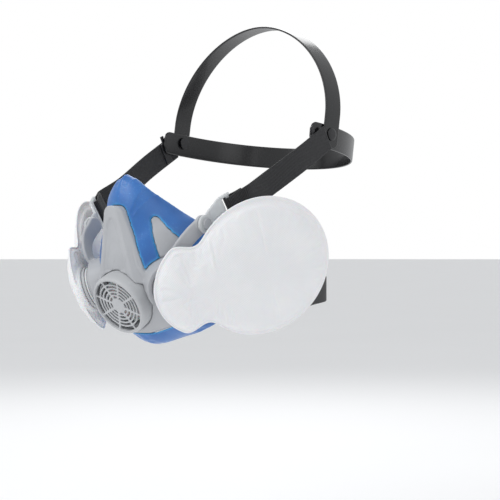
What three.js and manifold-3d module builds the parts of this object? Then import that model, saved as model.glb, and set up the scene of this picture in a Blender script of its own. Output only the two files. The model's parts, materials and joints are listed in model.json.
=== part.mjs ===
// Half-mask respirator with two pad filters and a head harness.
// Millimetres, +Z up, the wearer faces -Y, +X is the wearer's left. The origin is the centre of the
// opening that meets the face. Paired pieces are built once for the left and mirrored for the right.
import * as THREE from "three";
import { mergeVertices } from "three/addons/utils/BufferGeometryUtils.js";
import Module from "manifold-3d";

const wasm = await Module();
wasm.setup();

// ---------- driving dimensions ----------

const fitGap = 0.35; // between fitted pieces that touch
const runGap = 0.4; // between pieces that turn or slide

const mask = {
  halfWidth: 57,
  noseHeight: 66,
  chinHeight: 63,
  frontDepth: 67,
  frontLean: 0.1, // how far the front leans back per millimetre of height
  sealWall: 2.2,
  lipReach: 9,
  lipWall: 1.5,
  shellWall: 1.8,
};

// Edge of the seal from nose to chin: share of half width, share of nose or chin height, depth.
const sealEdge = [
  [0, 1, -55],
  [0.32, 0.82, -50],
  [0.42, 0.71, -40],
  [0.56, 0.56, -27],
  [0.7, 0.45, -19],
  [0.91, 0.15, 0],
  [1, -0.16, 10],
  [0.91, -0.56, 8],
  [0.67, -0.81, -10],
  [0.39, -0.905, -16],
  [0, -1, -23],
];

const panel = {
  top: 42,
  bottom: -16,
  topHalf: 7.7,
  taper: 0.31, // half width gained per millimetre down
  cornerRadius: 5,
  frontY: -74,
  lean: 0.12,
  topFlank: 2.2,
  flankTaper: 0.1,
  recessDepth: 0.9,
  recessTop: 33,
  recessBottom: -7,
  recessTopHalf: 3.4,
  recessBottomHalf: 13.2,
};

const valve = {
  centre: [0, -66, -33.5], // middle of the cover's front rim
  tilt: 29, // degrees below straight ahead
  coverRadius: 24.2,
  coverDepth: 16,
  coverWall: 1.8,
  grilleRim: 2.8, // from the cover's edge in to the grille
  grilleSink: 1.3,
  grilleThickness: 1.8,
  hubRadius: 6.4,
  slotRings: 5,
  barShare: 0.42, // part of each ring's pitch that is material
  spokes: 8,
  spokeWidth: 1.6,
  collarWall: 1.9,
  collarLength: 10.5,
  floorThickness: 3,
  cupWall: 2,
  seatWidth: 4.2,
  flapInset: 1.55, // from the seat's edge in to the flap's
  flapThickness: 0.8,
  stemRadius: 1.4,
  lift: 1.2,
};

const inlet = {
  inFromSide: 7.4, // axis point inwards of the seal's widest place
  axisY: -51.4,
  axisZ: -21.6, // the axis point lies on the filter's middle plane
  yaw: 64, // degrees of the outward axis from straight ahead
  dip: 18, // degrees below level
  radius: 16,
  socketWall: 3.2,
  grooveWall: 1.3,
  mouth: -8.7, // along the axis, from the filter's middle plane
  end: -17.5,
  grooveFrom: -13.5,
  grooveTo: -11.5,
  lugs: 3,
  lugAngle: 28,
  ringWidth: 4.2,
  ringFrom: -27,
  ringTo: -11.6,
  seatFrom: -15.7,
  seatTo: -14.5,
  flapThickness: 0.5,
  lift: 0.9,
  gasketFrom: -8.3,
  gasketTo: -6.9,
  flangeOverhang: 0.6,
  flangeTo: -4.6,
};

const filter = {
  lobeDistance: 66.8,
  lobeRadius: 54.5,
  endRadius: 41,
  endReach: 18.5,
  neckHalf: 31.2,
  neckAt: 16,
  weldWidth: 3.2,
  weldThickness: 1.4,
  outerCrown: 9.5,
  innerCrown: 4.4,
};

const harness = {
  bandWall: 1.6,
  bandWidth: 18.5,
  strapWidth: 20,
  strapWall: 1.3,
  headHalfWidth: 78.5,
  headHalfLength: 101,
  headCentreY: 78,
  rivetY: 88.5,
  rivetZ: 100,
  bandFrontY: 66,
  bandFall: 0.11, // how far the rear band drops per millimetre towards the back
  crownCentreZ: 115,
  crownLean: 15, // how far back the crown's top sits from the rivets
  crownRoundness: 1.9,
  crownTopZ: 193,
  rivetRadius: 3,
  strapEndY: 82, // where the upper strap meets the cradle
  strapEndZ: 97,
  loopRadius: 2.75, // middle of the webbing round a buckle's bar
  neckBackY: 148,
  neckBeyondMask: 7,
  neckZ: -22,
};

// Swivel stud and strap bar of each buckle; the swivel stands outside the seal's widest place.
const beside = (reach) => mask.halfWidth + reach;
const upperAnchor = { pivot: [beside(4), -35, 28], bar: [beside(14), -17, 40] };
const lowerAnchor = { pivot: [beside(3), 4, -36], bar: [beside(6), 26.5, -33] };
const swivel = { eyeRadius: 7, studRadius: 3, headRadius: 4.6, headThickness: 1.3, plate: 2.4, gap: 0.6 };
const upperArm = { width: 13, angle: 75, lift: 1.2, bulge: [1.5, -3, 1] };
const lowerArm = { width: 10, angle: -38, lift: inlet.radius * 0.31, bulge: [2.2, 0, 0] };
const armThickness = 3;

// Sizes that follow from the ones above.
const grilleRadius = valve.coverRadius - valve.grilleRim;
const valveBore = valve.coverRadius - valve.coverWall - runGap; // between the cover and the seat's collar
const collarBore = valveBore - valve.collarWall;
const seatRadius = collarBore - fitGap;
const flapRadius = seatRadius - valve.flapInset;
const ringRadius = inlet.radius + inlet.ringWidth; // the yoke's ring round an inlet
const socketRadius = inlet.radius - inlet.socketWall;
const grooveRadius = inlet.radius - inlet.grooveWall;
const flangeRadius = inlet.radius + inlet.flangeOverhang;
const crownHalfWidth = harness.headHalfWidth + 1.5 * harness.bandWall + fitGap; // middle of its wall
const strapEnd = [
  crownHalfWidth + harness.bandWall / 2 + fitGap + harness.strapWall / 2,
  harness.strapEndY,
  harness.strapEndZ,
];
const neckHalfWidth = mask.halfWidth + harness.neckBeyondMask;

const grey = { color: 0xb9babe, roughness: 0.45, metalness: 0 };
const paleGrey = { color: 0xc6c7ca, roughness: 0.5, metalness: 0 };
const blue = { color: 0x3778c3, roughness: 0.35, metalness: 0 };
const white = { color: 0xf5f5f7, roughness: 0.9, metalness: 0 };
const clear = { color: 0xe6eaec, roughness: 0.2, metalness: 0 };
const black = { color: 0x141418, roughness: 0.3, metalness: 0 };
const webbing = { color: 0x2d2d30, roughness: 0.9, metalness: 0 };
const silicone = { color: 0xd8dadc, roughness: 0.4, metalness: 0 };

// ---------- geometry helpers ----------

const facetTolerance = 0.14; // facets flatter than this are merged after a boolean

const vec = (x, y, z) => new THREE.Vector3(x, y, z);
const fromList = (list) => new THREE.Vector3(...list);
const radians = THREE.MathUtils.degToRad;
const along = (start, direction, distance) => start.clone().addScaledVector(direction, distance);

function spaced(from, to, count) {
  return Array.from({ length: count }, (_, i) => from + ((to - from) * i) / (count - 1));
}

function volumeOf(positions, index) {
  let total = 0;
  for (let i = 0; i < index.length; i += 3) {
    const [a, b, c] = [0, 1, 2].map((k) => positions[index[i + k]]);
    total += a.dot(b.clone().cross(c));
  }
  return total / 6;
}

function geometryFrom(points, index) {
  const turned = volumeOf(points, index) < 0;
  const faces = turned ? index.map((_, i) => index[i - (i % 3) + [0, 2, 1][i % 3]]) : index;
  const geometry = new THREE.BufferGeometry();
  const flat = new Float32Array(points.flatMap((p) => [p.x, p.y, p.z]));
  geometry.setAttribute("position", new THREE.BufferAttribute(flat, 3));
  geometry.setIndex(faces);
  return geometry;
}

// Skins a list of rings with equal point counts. A wrapped loft joins the last ring to the first;
// an open one is capped with a fan at each end.
function loft(rings, wrapped = false) {
  const count = rings[0].length;
  const points = rings.flat();
  const index = [];
  const bands = wrapped ? rings.length : rings.length - 1;
  for (let r = 0; r < bands; r += 1) {
    const here = r * count;
    const next = ((r + 1) % rings.length) * count;
    for (let i = 0; i < count; i += 1) {
      const j = (i + 1) % count;
      index.push(here + i, here + j, next + j, here + i, next + j, next + i);
    }
  }
  if (!wrapped) {
    for (const [ring, first, flip] of [
      [rings[0], 0, true],
      [rings.at(-1), (rings.length - 1) * count, false],
    ]) {
      const middle = ring.reduce((sum, p) => sum.add(p), vec(0, 0, 0)).divideScalar(count);
      points.push(middle);
      for (let i = 0; i < count; i += 1) {
        const j = (i + 1) % count;
        if (flip) index.push(first + j, first + i, points.length - 1);
        else index.push(first + i, first + j, points.length - 1);
      }
    }
  }
  return geometryFrom(points, index);
}

function solidOf(geometry) {
  const bare = new THREE.BufferGeometry();
  const loose = geometry.index ? geometry.toNonIndexed() : geometry;
  bare.setAttribute("position", loose.getAttribute("position"));
  const merged = mergeVertices(bare, 1e-4);
  const vertProperties = merged.attributes.position.array;
  const triVerts = new Uint32Array(merged.index.array);
  return new wasm.Manifold(new wasm.Mesh({ numProp: 3, vertProperties, triVerts }));
}

function geometryOf(solid) {
  const mesh = solid.simplify(facetTolerance).getMesh();
  const geometry = new THREE.BufferGeometry();
  geometry.setAttribute("position", new THREE.BufferAttribute(mesh.vertProperties, 3));
  geometry.setIndex(new THREE.BufferAttribute(mesh.triVerts, 1));
  return geometry;
}

const join = (...shapes) => geometryOf(shapes.map(solidOf).reduce((sum, s) => sum.add(s)));
const cut = (shape, ...tools) =>
  geometryOf(tools.map(solidOf).reduce((left, tool) => left.subtract(tool), solidOf(shape)));
const common = (shape, other) => geometryOf(solidOf(shape).intersect(solidOf(other)));

const moved = (geometry, matrix) => geometry.clone().applyMatrix4(matrix);
const mirrored = (geometry) => {
  const flipped = geometry.clone().applyMatrix4(new THREE.Matrix4().makeScale(-1, 1, 1));
  const index = Array.from(flipped.index.array);
  flipped.setIndex(index.map((_, i) => index[i - (i % 3) + [0, 2, 1][i % 3]]));
  return flipped;
};

// A turned piece about local Z; the profile lists [radius, height] and closes on itself.
function turned(profile, segments = 28) {
  const closed = [...profile, profile[0]].map(([r, z]) => new THREE.Vector2(r, z));
  const geometry = new THREE.LatheGeometry(closed, segments).rotateX(Math.PI / 2);
  geometry.deleteAttribute("normal");
  geometry.deleteAttribute("uv");
  return faceOut(mergeVertices(geometry, 1e-4));
}

// Drops the folded triangles that lie on the axis and turns the rest outwards.
function faceOut(geometry) {
  const place = geometry.attributes.position;
  const points = Array.from({ length: place.count }, (_, i) => vec(0, 0, 0).fromBufferAttribute(place, i));
  const index = Array.from(geometry.index.array);
  const kept = index.filter((_, i) => {
    const corner = i - (i % 3);
    return new Set([index[corner], index[corner + 1], index[corner + 2]]).size === 3;
  });
  return geometryFrom(points, kept);
}

const disc = (radius, from, to, segments = 28) =>
  turned([[0, from], [radius, from], [radius, to], [0, to]], segments);
const tube = (outer, inner, from, to, segments = 28) =>
  turned([[inner, from], [outer, from], [outer, to], [inner, to]], segments);

function box(width, height, depth, x = 0, y = 0, z = 0) {
  const geometry = new THREE.BoxGeometry(width, height, depth).translate(x, y, z);
  geometry.deleteAttribute("normal");
  geometry.deleteAttribute("uv");
  return mergeVertices(geometry, 1e-4);
}

// A prism from an outline of [x, z] points, running along Y.
function prismAlongY(outline, from, to) {
  const flat = outline.map(([x, z]) => new THREE.Vector2(x, z));
  if (THREE.ShapeUtils.area(flat) < 0) flat.reverse();
  const ring = (y) => flat.map((p) => vec(p.x, y, p.y));
  const caps = THREE.ShapeUtils.triangulateShape(flat, []);
  const count = flat.length;
  const index = [];
  for (let i = 0; i < count; i += 1) {
    const j = (i + 1) % count;
    index.push(i, j, count + j, i, count + j, count + i);
  }
  caps.forEach(([a, b, c]) => index.push(c, b, a, count + a, count + b, count + c));
  return geometryFrom([...ring(from), ...ring(to)], index);
}

// Pushes every side of an outline outwards by a margin (inwards when negative).
function grown(outline, margin) {
  const area = THREE.ShapeUtils.area(outline.map(([x, z]) => ({ x, y: z })));
  const side = Math.sign(area);
  return outline.map(([x, z], i) => {
    const [px, pz] = outline.at(i - 1);
    const [nx, nz] = outline[(i + 1) % outline.length];
    const before = vec(z - pz, 0, px - x).normalize();
    const after = vec(nz - z, 0, x - nx).normalize();
    const out = before.clone().add(after).normalize();
    const reach = Math.min(2, 1 / Math.max(0.4, out.dot(before)));
    return [x + side * out.x * margin * reach, z + side * out.z * margin * reach];
  });
}

const slabSection = (width, thickness, bevel = 0) => {
  const [w, t, b] = [width / 2, thickness / 2, bevel];
  if (!b) return [[-w, -t], [w, -t], [w, t], [-w, t]];
  return [[-w + b, -t], [w - b, -t], [w, -t + b], [w, t - b], [w - b, t], [-w + b, t], [-w, t - b], [-w, -t + b]];
};

// Carries a section [across, out] along a path; facing(point) gives the outward side.
function sweep(path, facing, section) {
  const rings = path.map((point, i) => {
    const ahead = path[Math.min(i + 1, path.length - 1)];
    const behind = path[Math.max(i - 1, 0)];
    const heading = ahead.clone().sub(behind).normalize();
    const out = facing(point, i).clone().normalize();
    out.addScaledVector(heading, -out.dot(heading)).normalize();
    const across = heading.clone().cross(out);
    const outline = typeof section === "function" ? section(i / (path.length - 1)) : section;
    return outline.map(([a, o]) => point.clone().addScaledVector(across, a).addScaledVector(out, o));
  });
  return loft(rings);
}

const curveThrough = (points, count) =>
  new THREE.CatmullRomCurve3(points, false, "centripetal").getSpacedPoints(count);

// ---------- the mask's outer form ----------

// Each direction round the mask has a quarter-ellipse profile from the front to the seal's edge.
const frontAt = (z) => -mask.frontDepth - mask.frontLean * z;

const sealEdgePoints = sealEdge.map(([x, z, y]) =>
  vec(x * mask.halfWidth, y, z * (z > 0 ? mask.noseHeight : mask.chinHeight)),
);
const sealEdgeLoop = new THREE.CatmullRomCurve3(
  [
    ...sealEdgePoints,
    ...sealEdgePoints.slice(1, -1).reverse().map((p) => vec(-p.x, p.y, p.z)),
  ],
  true,
  "centripetal",
)
  .getPoints(720)
  .map((point) => ({ angle: Math.atan2(point.x, point.z), point }))
  .sort((a, b) => a.angle - b.angle);

function sealEdgeAt(angle) {
  const turn = Math.atan2(Math.sin(angle), Math.cos(angle));
  const found = sealEdgeLoop.findIndex((sample) => sample.angle >= turn);
  const upper = sealEdgeLoop[Math.max(found, 0)];
  const lower = sealEdgeLoop.at(Math.max(found, 0) - 1);
  const span = upper.angle - lower.angle;
  const share = span > 0 ? (turn - lower.angle) / span : 0;
  return lower.point.clone().lerp(upper.point, share);
}

function skinPoint(angle, sweepAngle) {
  const edge = sealEdgeAt(angle);
  const z = edge.z * Math.sin(sweepAngle);
  const depth = edge.y - frontAt(edge.z);
  return vec(edge.x * Math.sin(sweepAngle), frontAt(z) + depth * (1 - Math.cos(sweepAngle)), z);
}

// A point a given depth under the form; negative depths stand proud of it.
function skin(angle, sweepAngle, depth) {
  const step = 0.02;
  const point = skinPoint(angle, sweepAngle);
  const outwards = skinPoint(angle, sweepAngle + step).sub(skinPoint(angle, sweepAngle - step));
  const around = skinPoint(angle + step, sweepAngle).sub(skinPoint(angle - step, sweepAngle));
  const normal = outwards.cross(around).normalize();
  if (normal.dot(point.clone().sub(vec(0, 20, 0))) < 0) normal.negate();
  return along(point, normal, -depth);
}

const ringPoints = 44;
const ringAngles = Array.from({ length: ringPoints }, (_, i) => (i / ringPoints) * Math.PI * 2);
const skinRing = (sweepAngle, depth) => ringAngles.map((angle) => skin(angle, sweepAngle, depth));

function skinShell(outerDepth, innerDepth, from, to, steps) {
  const sweeps = spaced(radians(from), radians(to), steps);
  const outer = sweeps.map((s) => skinRing(s, outerDepth));
  const inner = sweeps.toReversed().map((s) => skinRing(s, innerDepth));
  return loft([...outer, ...inner], true);
}

// Everything inside the form at one depth, used to trim what stands on it.
const skinCore = (depth) =>
  loft([
    ...spaced(radians(7), radians(82), 10).map((s) => skinRing(s, depth)),
    skinRing(radians(82), depth).map((p) => p.add(vec(0, 25, 0))),
  ]);

// ---------- outlines and local frames ----------

function panelHalf(z) {
  const drop = panel.top - z;
  const side = panel.topHalf + drop * panel.taper;
  if (drop >= panel.cornerRadius) return side;
  const missing = panel.cornerRadius - drop;
  return side - panel.cornerRadius + Math.sqrt(panel.cornerRadius ** 2 - missing ** 2);
}

const panelFrontAt = (z) => panel.frontY + panel.lean * (panel.top - z);
const panelFlankAt = (z) => panel.topFlank + (panel.top - z) * panel.flankTaper;

const panelHeights = [
  ...spaced(panel.bottom, panel.top - panel.cornerRadius, 7),
  ...[0.6, 0.3, 0.1, 0.01].map((share) => panel.top - panel.cornerRadius * share),
];
const bothSides = (half) => [...half, ...half.filter(([x]) => x > 0).reverse().map(([x, z]) => [-x, z])];
const panelOutline = bothSides(panelHeights.toReversed().map((z) => [panelHalf(z), z]));

// Across in shares of the mask's half width, up in millimetres.
const acrossMask = (outline) => outline.map(([share, z]) => [share * mask.halfWidth, z]);

const bandOutline = bothSides(acrossMask([
  [0.368, -4],
  [0.509, -13],
  [0.702, -12],
  [0.754, -25],
  [0.649, -42],
  [0.456, -48.5],
  [0.175, -53.5],
]));

const windowOutline = acrossMask([
  [0.407, 34.5],
  [0.449, 34],
  [0.719, 15.5],
  [0.763, 10],
  [0.737, 7],
  [0.579, 2.5],
  [0.54, 4],
  [0.396, 31.5],
]);

const valveAxis = vec(0, -Math.cos(radians(valve.tilt)), -Math.sin(radians(valve.tilt)));
const valveFrame = new THREE.Matrix4()
  .makeBasis(vec(1, 0, 0), valveAxis.clone().cross(vec(1, 0, 0)), valveAxis)
  .setPosition(fromList(valve.centre));

const inletAxis = vec(
  Math.sin(radians(inlet.yaw)) * Math.cos(radians(inlet.dip)),
  -Math.cos(radians(inlet.yaw)) * Math.cos(radians(inlet.dip)),
  -Math.sin(radians(inlet.dip)),
);
// Local +X runs along the pad towards its big lobe, level with the wearer's jaw line.
const padDirection = vec(0.5, 0.82, 0.278);
padDirection.addScaledVector(inletAxis, -padDirection.dot(inletAxis)).normalize();
const inletFrame = new THREE.Matrix4()
  .makeBasis(padDirection, inletAxis.clone().cross(padDirection), inletAxis)
  .setPosition(beside(-inlet.inFromSide), inlet.axisY, inlet.axisZ);

const inletCutter = (radius, from, to) => moved(disc(radius, from, to), inletFrame);
const bothInlets = (radius, from, to) => {
  const left = inletCutter(radius, from, to);
  return [left, mirrored(left)];
};

// ---------- face seal, inner shell and yoke ----------

function faceSeal() {
  const outer = spaced(radians(12), radians(90), 9).map((s) => skinRing(s, 0));
  const inner = spaced(radians(12), radians(84), 8).map((s) => skinRing(s, mask.sealWall));
  const edge = skinRing(radians(90), 0);
  const lipRing = (reach, back) =>
    edge.map((point) => {
      const inwards = vec(-point.x, 0, -point.z).normalize();
      return along(point, inwards, reach).add(vec(0, back, 0));
    });
  const lip = [
    lipRing(0.6, 1.6),
    lipRing(2.6, 2.2),
    lipRing(mask.lipReach * 0.6, 1.6),
    lipRing(mask.lipReach, -0.6),
    lipRing(mask.lipReach, -0.6 - mask.lipWall * 0.6),
    lipRing(mask.lipReach * 0.6, 1.6 - mask.lipWall),
  ];
  const body = loft([...outer, ...lip, ...inner.toReversed()], true);
  const opening = [panelOutline, bandOutline].map((o) => prismAlongY(grown(o, fitGap), -110, -15));
  const window = prismAlongY(windowOutline, -110, -15);
  const ports = bothInlets(ringRadius + fitGap, -30, 20);
  const clearance = moved(disc(valve.coverRadius + valve.cupWall + fitGap, -30, 20), valveFrame);
  return cut(body, ...opening, window, mirrored(window), ...ports, clearance);
}

function innerShell() {
  const top = mask.sealWall + fitGap;
  const shell = skinShell(top, top + mask.shellWall, 12, 66, 8);
  const window = common(
    skinShell(0.9, top + 0.6, 20, 80, 8),
    prismAlongY(grown(windowOutline, -fitGap), -110, -15),
  );
  const pad = cut(window, inletCutter(ringRadius + fitGap, -30, 20));
  const valveHole = moved(disc(valve.coverRadius + valve.cupWall + fitGap, -30, 20), valveFrame);
  const ports = bothInlets(inlet.radius + fitGap, -30, 20);
  return cut(join(shell, pad, mirrored(pad)), valveHole, ...ports);
}

function frontPanel() {
  const rings = panelHeights.map((z) => {
    const half = panelHalf(z);
    const flat = Math.max(half - panelFlankAt(z), half * 0.4);
    const front = panelFrontAt(z);
    const side = front + (half - flat) * 1.05;
    const fold = (half - flat) * 0.12;
    return [
      [-half, -35],
      [-half, side + 0.8],
      [-half + 0.5, side],
      [-flat - fold, front + 0.5],
      [-flat + fold, front],
      [flat - fold, front],
      [flat + fold, front + 0.5],
      [half - 0.5, side],
      [half, side + 0.8],
      [half, -35],
    ].map(([x, y]) => vec(x, y, z));
  });
  return cut(loft(rings), skinCore(mask.sealWall));
}

function panelRecess() {
  const heights = spaced(panel.recessBottom, panel.recessTop, 9);
  const rings = heights.map((z) => {
    const share = (z - panel.recessBottom) / (panel.recessTop - panel.recessBottom);
    const side = THREE.MathUtils.lerp(panel.recessBottomHalf, panel.recessTopHalf, share);
    const fromEnd = Math.min(z - panel.recessBottom, panel.recessTop - z);
    const half = fromEnd < 0.1 ? side - 1.8 : side;
    const front = panelFrontAt(z);
    return [
      vec(-half, front - 2, z),
      vec(half, front - 2, z),
      vec(half, front + panel.recessDepth, z),
      vec(-half, front + panel.recessDepth, z),
    ];
  });
  return loft(rings);
}

// An arm leaves the ring round the inlet and ends in a flat eye that carries the swivel stud.
function yokeArm(anchor, shape) {
  const [x, y, z] = anchor.pivot;
  const eyeX = x - swivel.plate / 2 - swivel.gap - armThickness / 2;
  const turn = radians(shape.angle);
  const fromRing = (radius, height) =>
    vec(Math.cos(turn) * radius, Math.sin(turn) * radius, height).applyMatrix4(inletFrame);
  const start = fromRing(inlet.radius + 1, inlet.ringTo - 0.8);
  const leave = fromRing(ringRadius + 4, inlet.ringTo + shape.lift);
  const end = vec(eyeX, y, z);
  const middle = leave.clone().lerp(end, 0.5).add(fromList(shape.bulge));
  const path = curveThrough([start, leave, middle, end], 7);
  const startOut = inletAxis.clone();
  const arm = sweep(
    path,
    (_, i) => startOut.clone().lerp(vec(1, 0, 0), i / (path.length - 1)),
    slabSection(shape.width, armThickness, 0.6),
  );
  const eye = disc(swivel.eyeRadius, -armThickness / 2, armThickness / 2, 20).rotateY(Math.PI / 2);
  eye.translate(end.x, end.y, end.z);
  const studLength = armThickness / 2 + swivel.plate + swivel.gap + fitGap;
  const stud = disc(swivel.studRadius, 0, studLength + 0.2, 16).rotateY(Math.PI / 2);
  const head = disc(swivel.headRadius, studLength, studLength + swivel.headThickness, 18)
    .rotateY(Math.PI / 2);
  stud.translate(end.x, end.y, end.z);
  head.translate(end.x, end.y, end.z);
  return join(arm, eye, stud, head);
}

function frontYoke() {
  const band = common(
    skinShell(-1.4, mask.sealWall, 12, 84, 9),
    prismAlongY(bandOutline, -110, -15),
  );
  const cup = common(
    moved(
      tube(valve.coverRadius + valve.cupWall, valve.coverRadius, -valve.coverDepth - valve.floorThickness, 6),
      valveFrame,
    ),
    skinCore(-1.4),
  );
  const floorBack = -valve.coverDepth - valve.floorThickness;
  const floor = moved(
    join(
      disc(valve.coverRadius + valve.cupWall, floorBack, -valve.coverDepth - 0.5),
      tube(valveBore, collarBore, floorBack + 1, -valve.coverDepth + valve.collarLength),
    ),
    valveFrame,
  );
  const ring = cut(
    inletCutter(ringRadius, inlet.ringFrom, inlet.ringTo),
    skinCore(mask.sealWall),
  );
  const arms = [
    yokeArm(upperAnchor, upperArm),
    yokeArm(lowerAnchor, lowerArm),
  ];
  const nest = moved(
    cut(
      disc(valve.coverRadius + runGap, -valve.coverDepth - 0.5, 40),
      disc(valveBore, -valve.coverDepth - 2, -valve.coverDepth + valve.collarLength),
    ),
    valveFrame,
  );
  const airway = moved(disc(collarBore - valve.seatWidth, floorBack - 1, 0), valveFrame);
  const inside = moved(disc(collarBore, -valve.coverDepth - 0.5, 20), valveFrame);
  const body = join(frontPanel(), band, cup, ring, mirrored(ring), ...arms, ...arms.map(mirrored));
  const opened = cut(body, nest, panelRecess(), inside, ...bothInlets(inlet.radius + fitGap, -30, 20));
  return cut(join(opened, floor), airway, inside);
}

// ---------- exhalation valve ----------

const seatBottom = -valve.coverDepth + fitGap;
const seatTop = seatBottom + 4;

function coverGrille() {
  const top = -valve.grilleSink;
  const bottom = top - valve.grilleThickness;
  const pitch = (grilleRadius - valve.hubRadius) / valve.slotRings;
  const bar = pitch * valve.barShare;
  const hub = turned([[0, bottom], [valve.hubRadius, bottom], [valve.hubRadius, top - 0.4],
    [valve.hubRadius - 0.5, top], [0.9, top], [0, top - 0.5]], 18);
  const bars = Array.from({ length: valve.slotRings - 1 }, (_, i) => {
    const outer = valve.hubRadius + (i + 1) * pitch;
    return tube(outer, outer - bar, bottom, top - 0.2, 26);
  });
  const rim = tube(valve.coverRadius - valve.coverWall * 0.6, grilleRadius, bottom, top, 30);
  const spokes = Array.from({ length: valve.spokes / 2 }, (_, i) =>
    box(grilleRadius * 2 + 0.6, valve.spokeWidth, valve.grilleThickness - 0.3,
      0, 0, (top + bottom) / 2).rotateZ((i * 2 * Math.PI) / valve.spokes + Math.PI / 8));
  return join(rim, hub, ...bars, ...spokes);
}

function exhalationCover() {
  const outer = valve.coverRadius;
  const inner = outer - valve.coverWall;
  const skirt = turned([
    [outer, -valve.coverDepth],
    [outer, -3.4],
    [outer - 0.35, -1.6],
    [outer - 1, -0.5],
    [outer - 1.9, 0],
    [grilleRadius + 0.2, -0.2],
    [grilleRadius, -valve.grilleSink],
    [grilleRadius, -valve.grilleSink - valve.grilleThickness],
    [inner, -valve.grilleSink - valve.grilleThickness - 0.6],
    [inner, -valve.coverDepth],
  ], 40);
  return join(skirt, coverGrille());
}

function exhalationSeat() {
  const inner = seatRadius - valve.seatWidth;
  const ring = turned([
    [inner, seatBottom],
    [seatRadius, seatBottom],
    [seatRadius, seatTop - 1.4],
    [inner + 2, seatTop - 1.2],
    [inner + 1.4, seatTop],
    [inner + 0.6, seatTop],
    [inner, seatTop - 1.2],
  ]);
  const hub = disc(valve.stemRadius * 2.6, seatBottom, seatTop - 1.6, 24);
  const arms = [0, 1].map((i) => box(inner * 2 + 1, 1.8, 2, 0, 0, seatBottom + 1.1).rotateZ((i * Math.PI) / 2));
  return cut(join(ring, hub, ...arms), disc(valve.stemRadius + runGap, -40, 0, 24));
}

function exhalationFlap() {
  const rest = seatTop + fitGap;
  const top = rest + valve.flapThickness;
  const bulb = valve.stemRadius + runGap + 0.7;
  const bulbTop = seatBottom - valve.lift - runGap;
  return turned([
    [0, bulbTop - 2.4],
    [bulb * 0.6, bulbTop - 2.2],
    [bulb, bulbTop - 0.9],
    [bulb, bulbTop],
    [valve.stemRadius, bulbTop],
    [valve.stemRadius, rest],
    [flapRadius * 0.6, rest],
    [flapRadius, rest],
    [flapRadius, top - 0.3],
    [valve.stemRadius * 2.5, top + 0.7],
    [0, top + 0.9],
  ]);
}

// ---------- inlets with their bayonet ----------

const lugSpan = radians(inlet.lugAngle);
const lugCentre = (i) => (i / inlet.lugs) * Math.PI * 2;

// A wedge of a ring, from one angle to another.
function ringWedge(outer, inner, from, to, centre, span) {
  const arc = spaced(centre - span / 2, centre + span / 2, 7);
  const outline = [
    ...arc.map((a) => [Math.cos(a) * outer, Math.sin(a) * outer]),
    ...arc.toReversed().map((a) => [Math.cos(a) * inner, Math.sin(a) * inner]),
  ];
  const shape = new THREE.Shape(outline.map(([x, y]) => new THREE.Vector2(x, y)));
  const wedge = new THREE.ExtrudeGeometry(shape, { depth: to - from, bevelEnabled: false });
  wedge.translate(0, 0, from);
  wedge.deleteAttribute("normal");
  wedge.deleteAttribute("uv");
  return mergeVertices(wedge, 1e-4);
}

const twist = radians(45); // from locked to the entry slots

function inletPort() {
  const barrel = turned([
    [socketRadius, inlet.end],
    [inlet.radius, inlet.end],
    [inlet.radius, inlet.mouth],
    [socketRadius, inlet.mouth],
    [socketRadius, inlet.grooveTo],
    [grooveRadius, inlet.grooveTo],
    [grooveRadius, inlet.grooveFrom],
    [socketRadius, inlet.grooveFrom],
  ]);
  const entries = Array.from({ length: inlet.lugs }, (_, i) =>
    ringWedge(grooveRadius, socketRadius - 1, inlet.grooveFrom, inlet.mouth + 1,
      lugCentre(i) + twist, lugSpan + radians(6)));
  const bars = [0, 1].map((i) =>
    box(socketRadius * 2 + 1, 2, inlet.seatTo - inlet.seatFrom, 0, 0,
      (inlet.seatFrom + inlet.seatTo) / 2).rotateZ((i * Math.PI) / 2));
  const rim = tube(socketRadius + 0.5, socketRadius - 2.2, inlet.seatFrom, inlet.seatTo);
  const hub = disc(3, inlet.seatFrom, inlet.seatTo, 24);
  return join(cut(barrel, ...entries), rim, hub, ...bars);
}

function inhalationFlap() {
  const top = inlet.seatFrom - fitGap;
  return turned([
    [0, top - inlet.flapThickness],
    [socketRadius - 0.8, top - inlet.flapThickness],
    [socketRadius - 0.8, top],
    [0, top],
  ], 32);
}

const portGasket = () => tube(inlet.radius - 0.2, socketRadius + 0.9, inlet.gasketFrom, inlet.gasketTo);

function filterPlug() {
  const outer = socketRadius - runGap;
  const wall = 1.6;
  const tail = inlet.seatTo + 0.5;
  const flangeFrom = inlet.gasketTo + fitGap;
  const body = turned([
    [outer - wall, tail],
    [outer, tail],
    [outer, flangeFrom],
    [flangeRadius, flangeFrom],
    [flangeRadius, inlet.flangeTo],
    [outer - wall, inlet.flangeTo],
  ]);
  const lugs = Array.from({ length: inlet.lugs }, (_, i) =>
    ringWedge(grooveRadius - runGap, outer - 0.8, inlet.grooveFrom + 0.35, inlet.grooveTo - 0.35,
      lugCentre(i), lugSpan));
  return join(body, ...lugs);
}

// ---------- filter pads ----------

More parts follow.
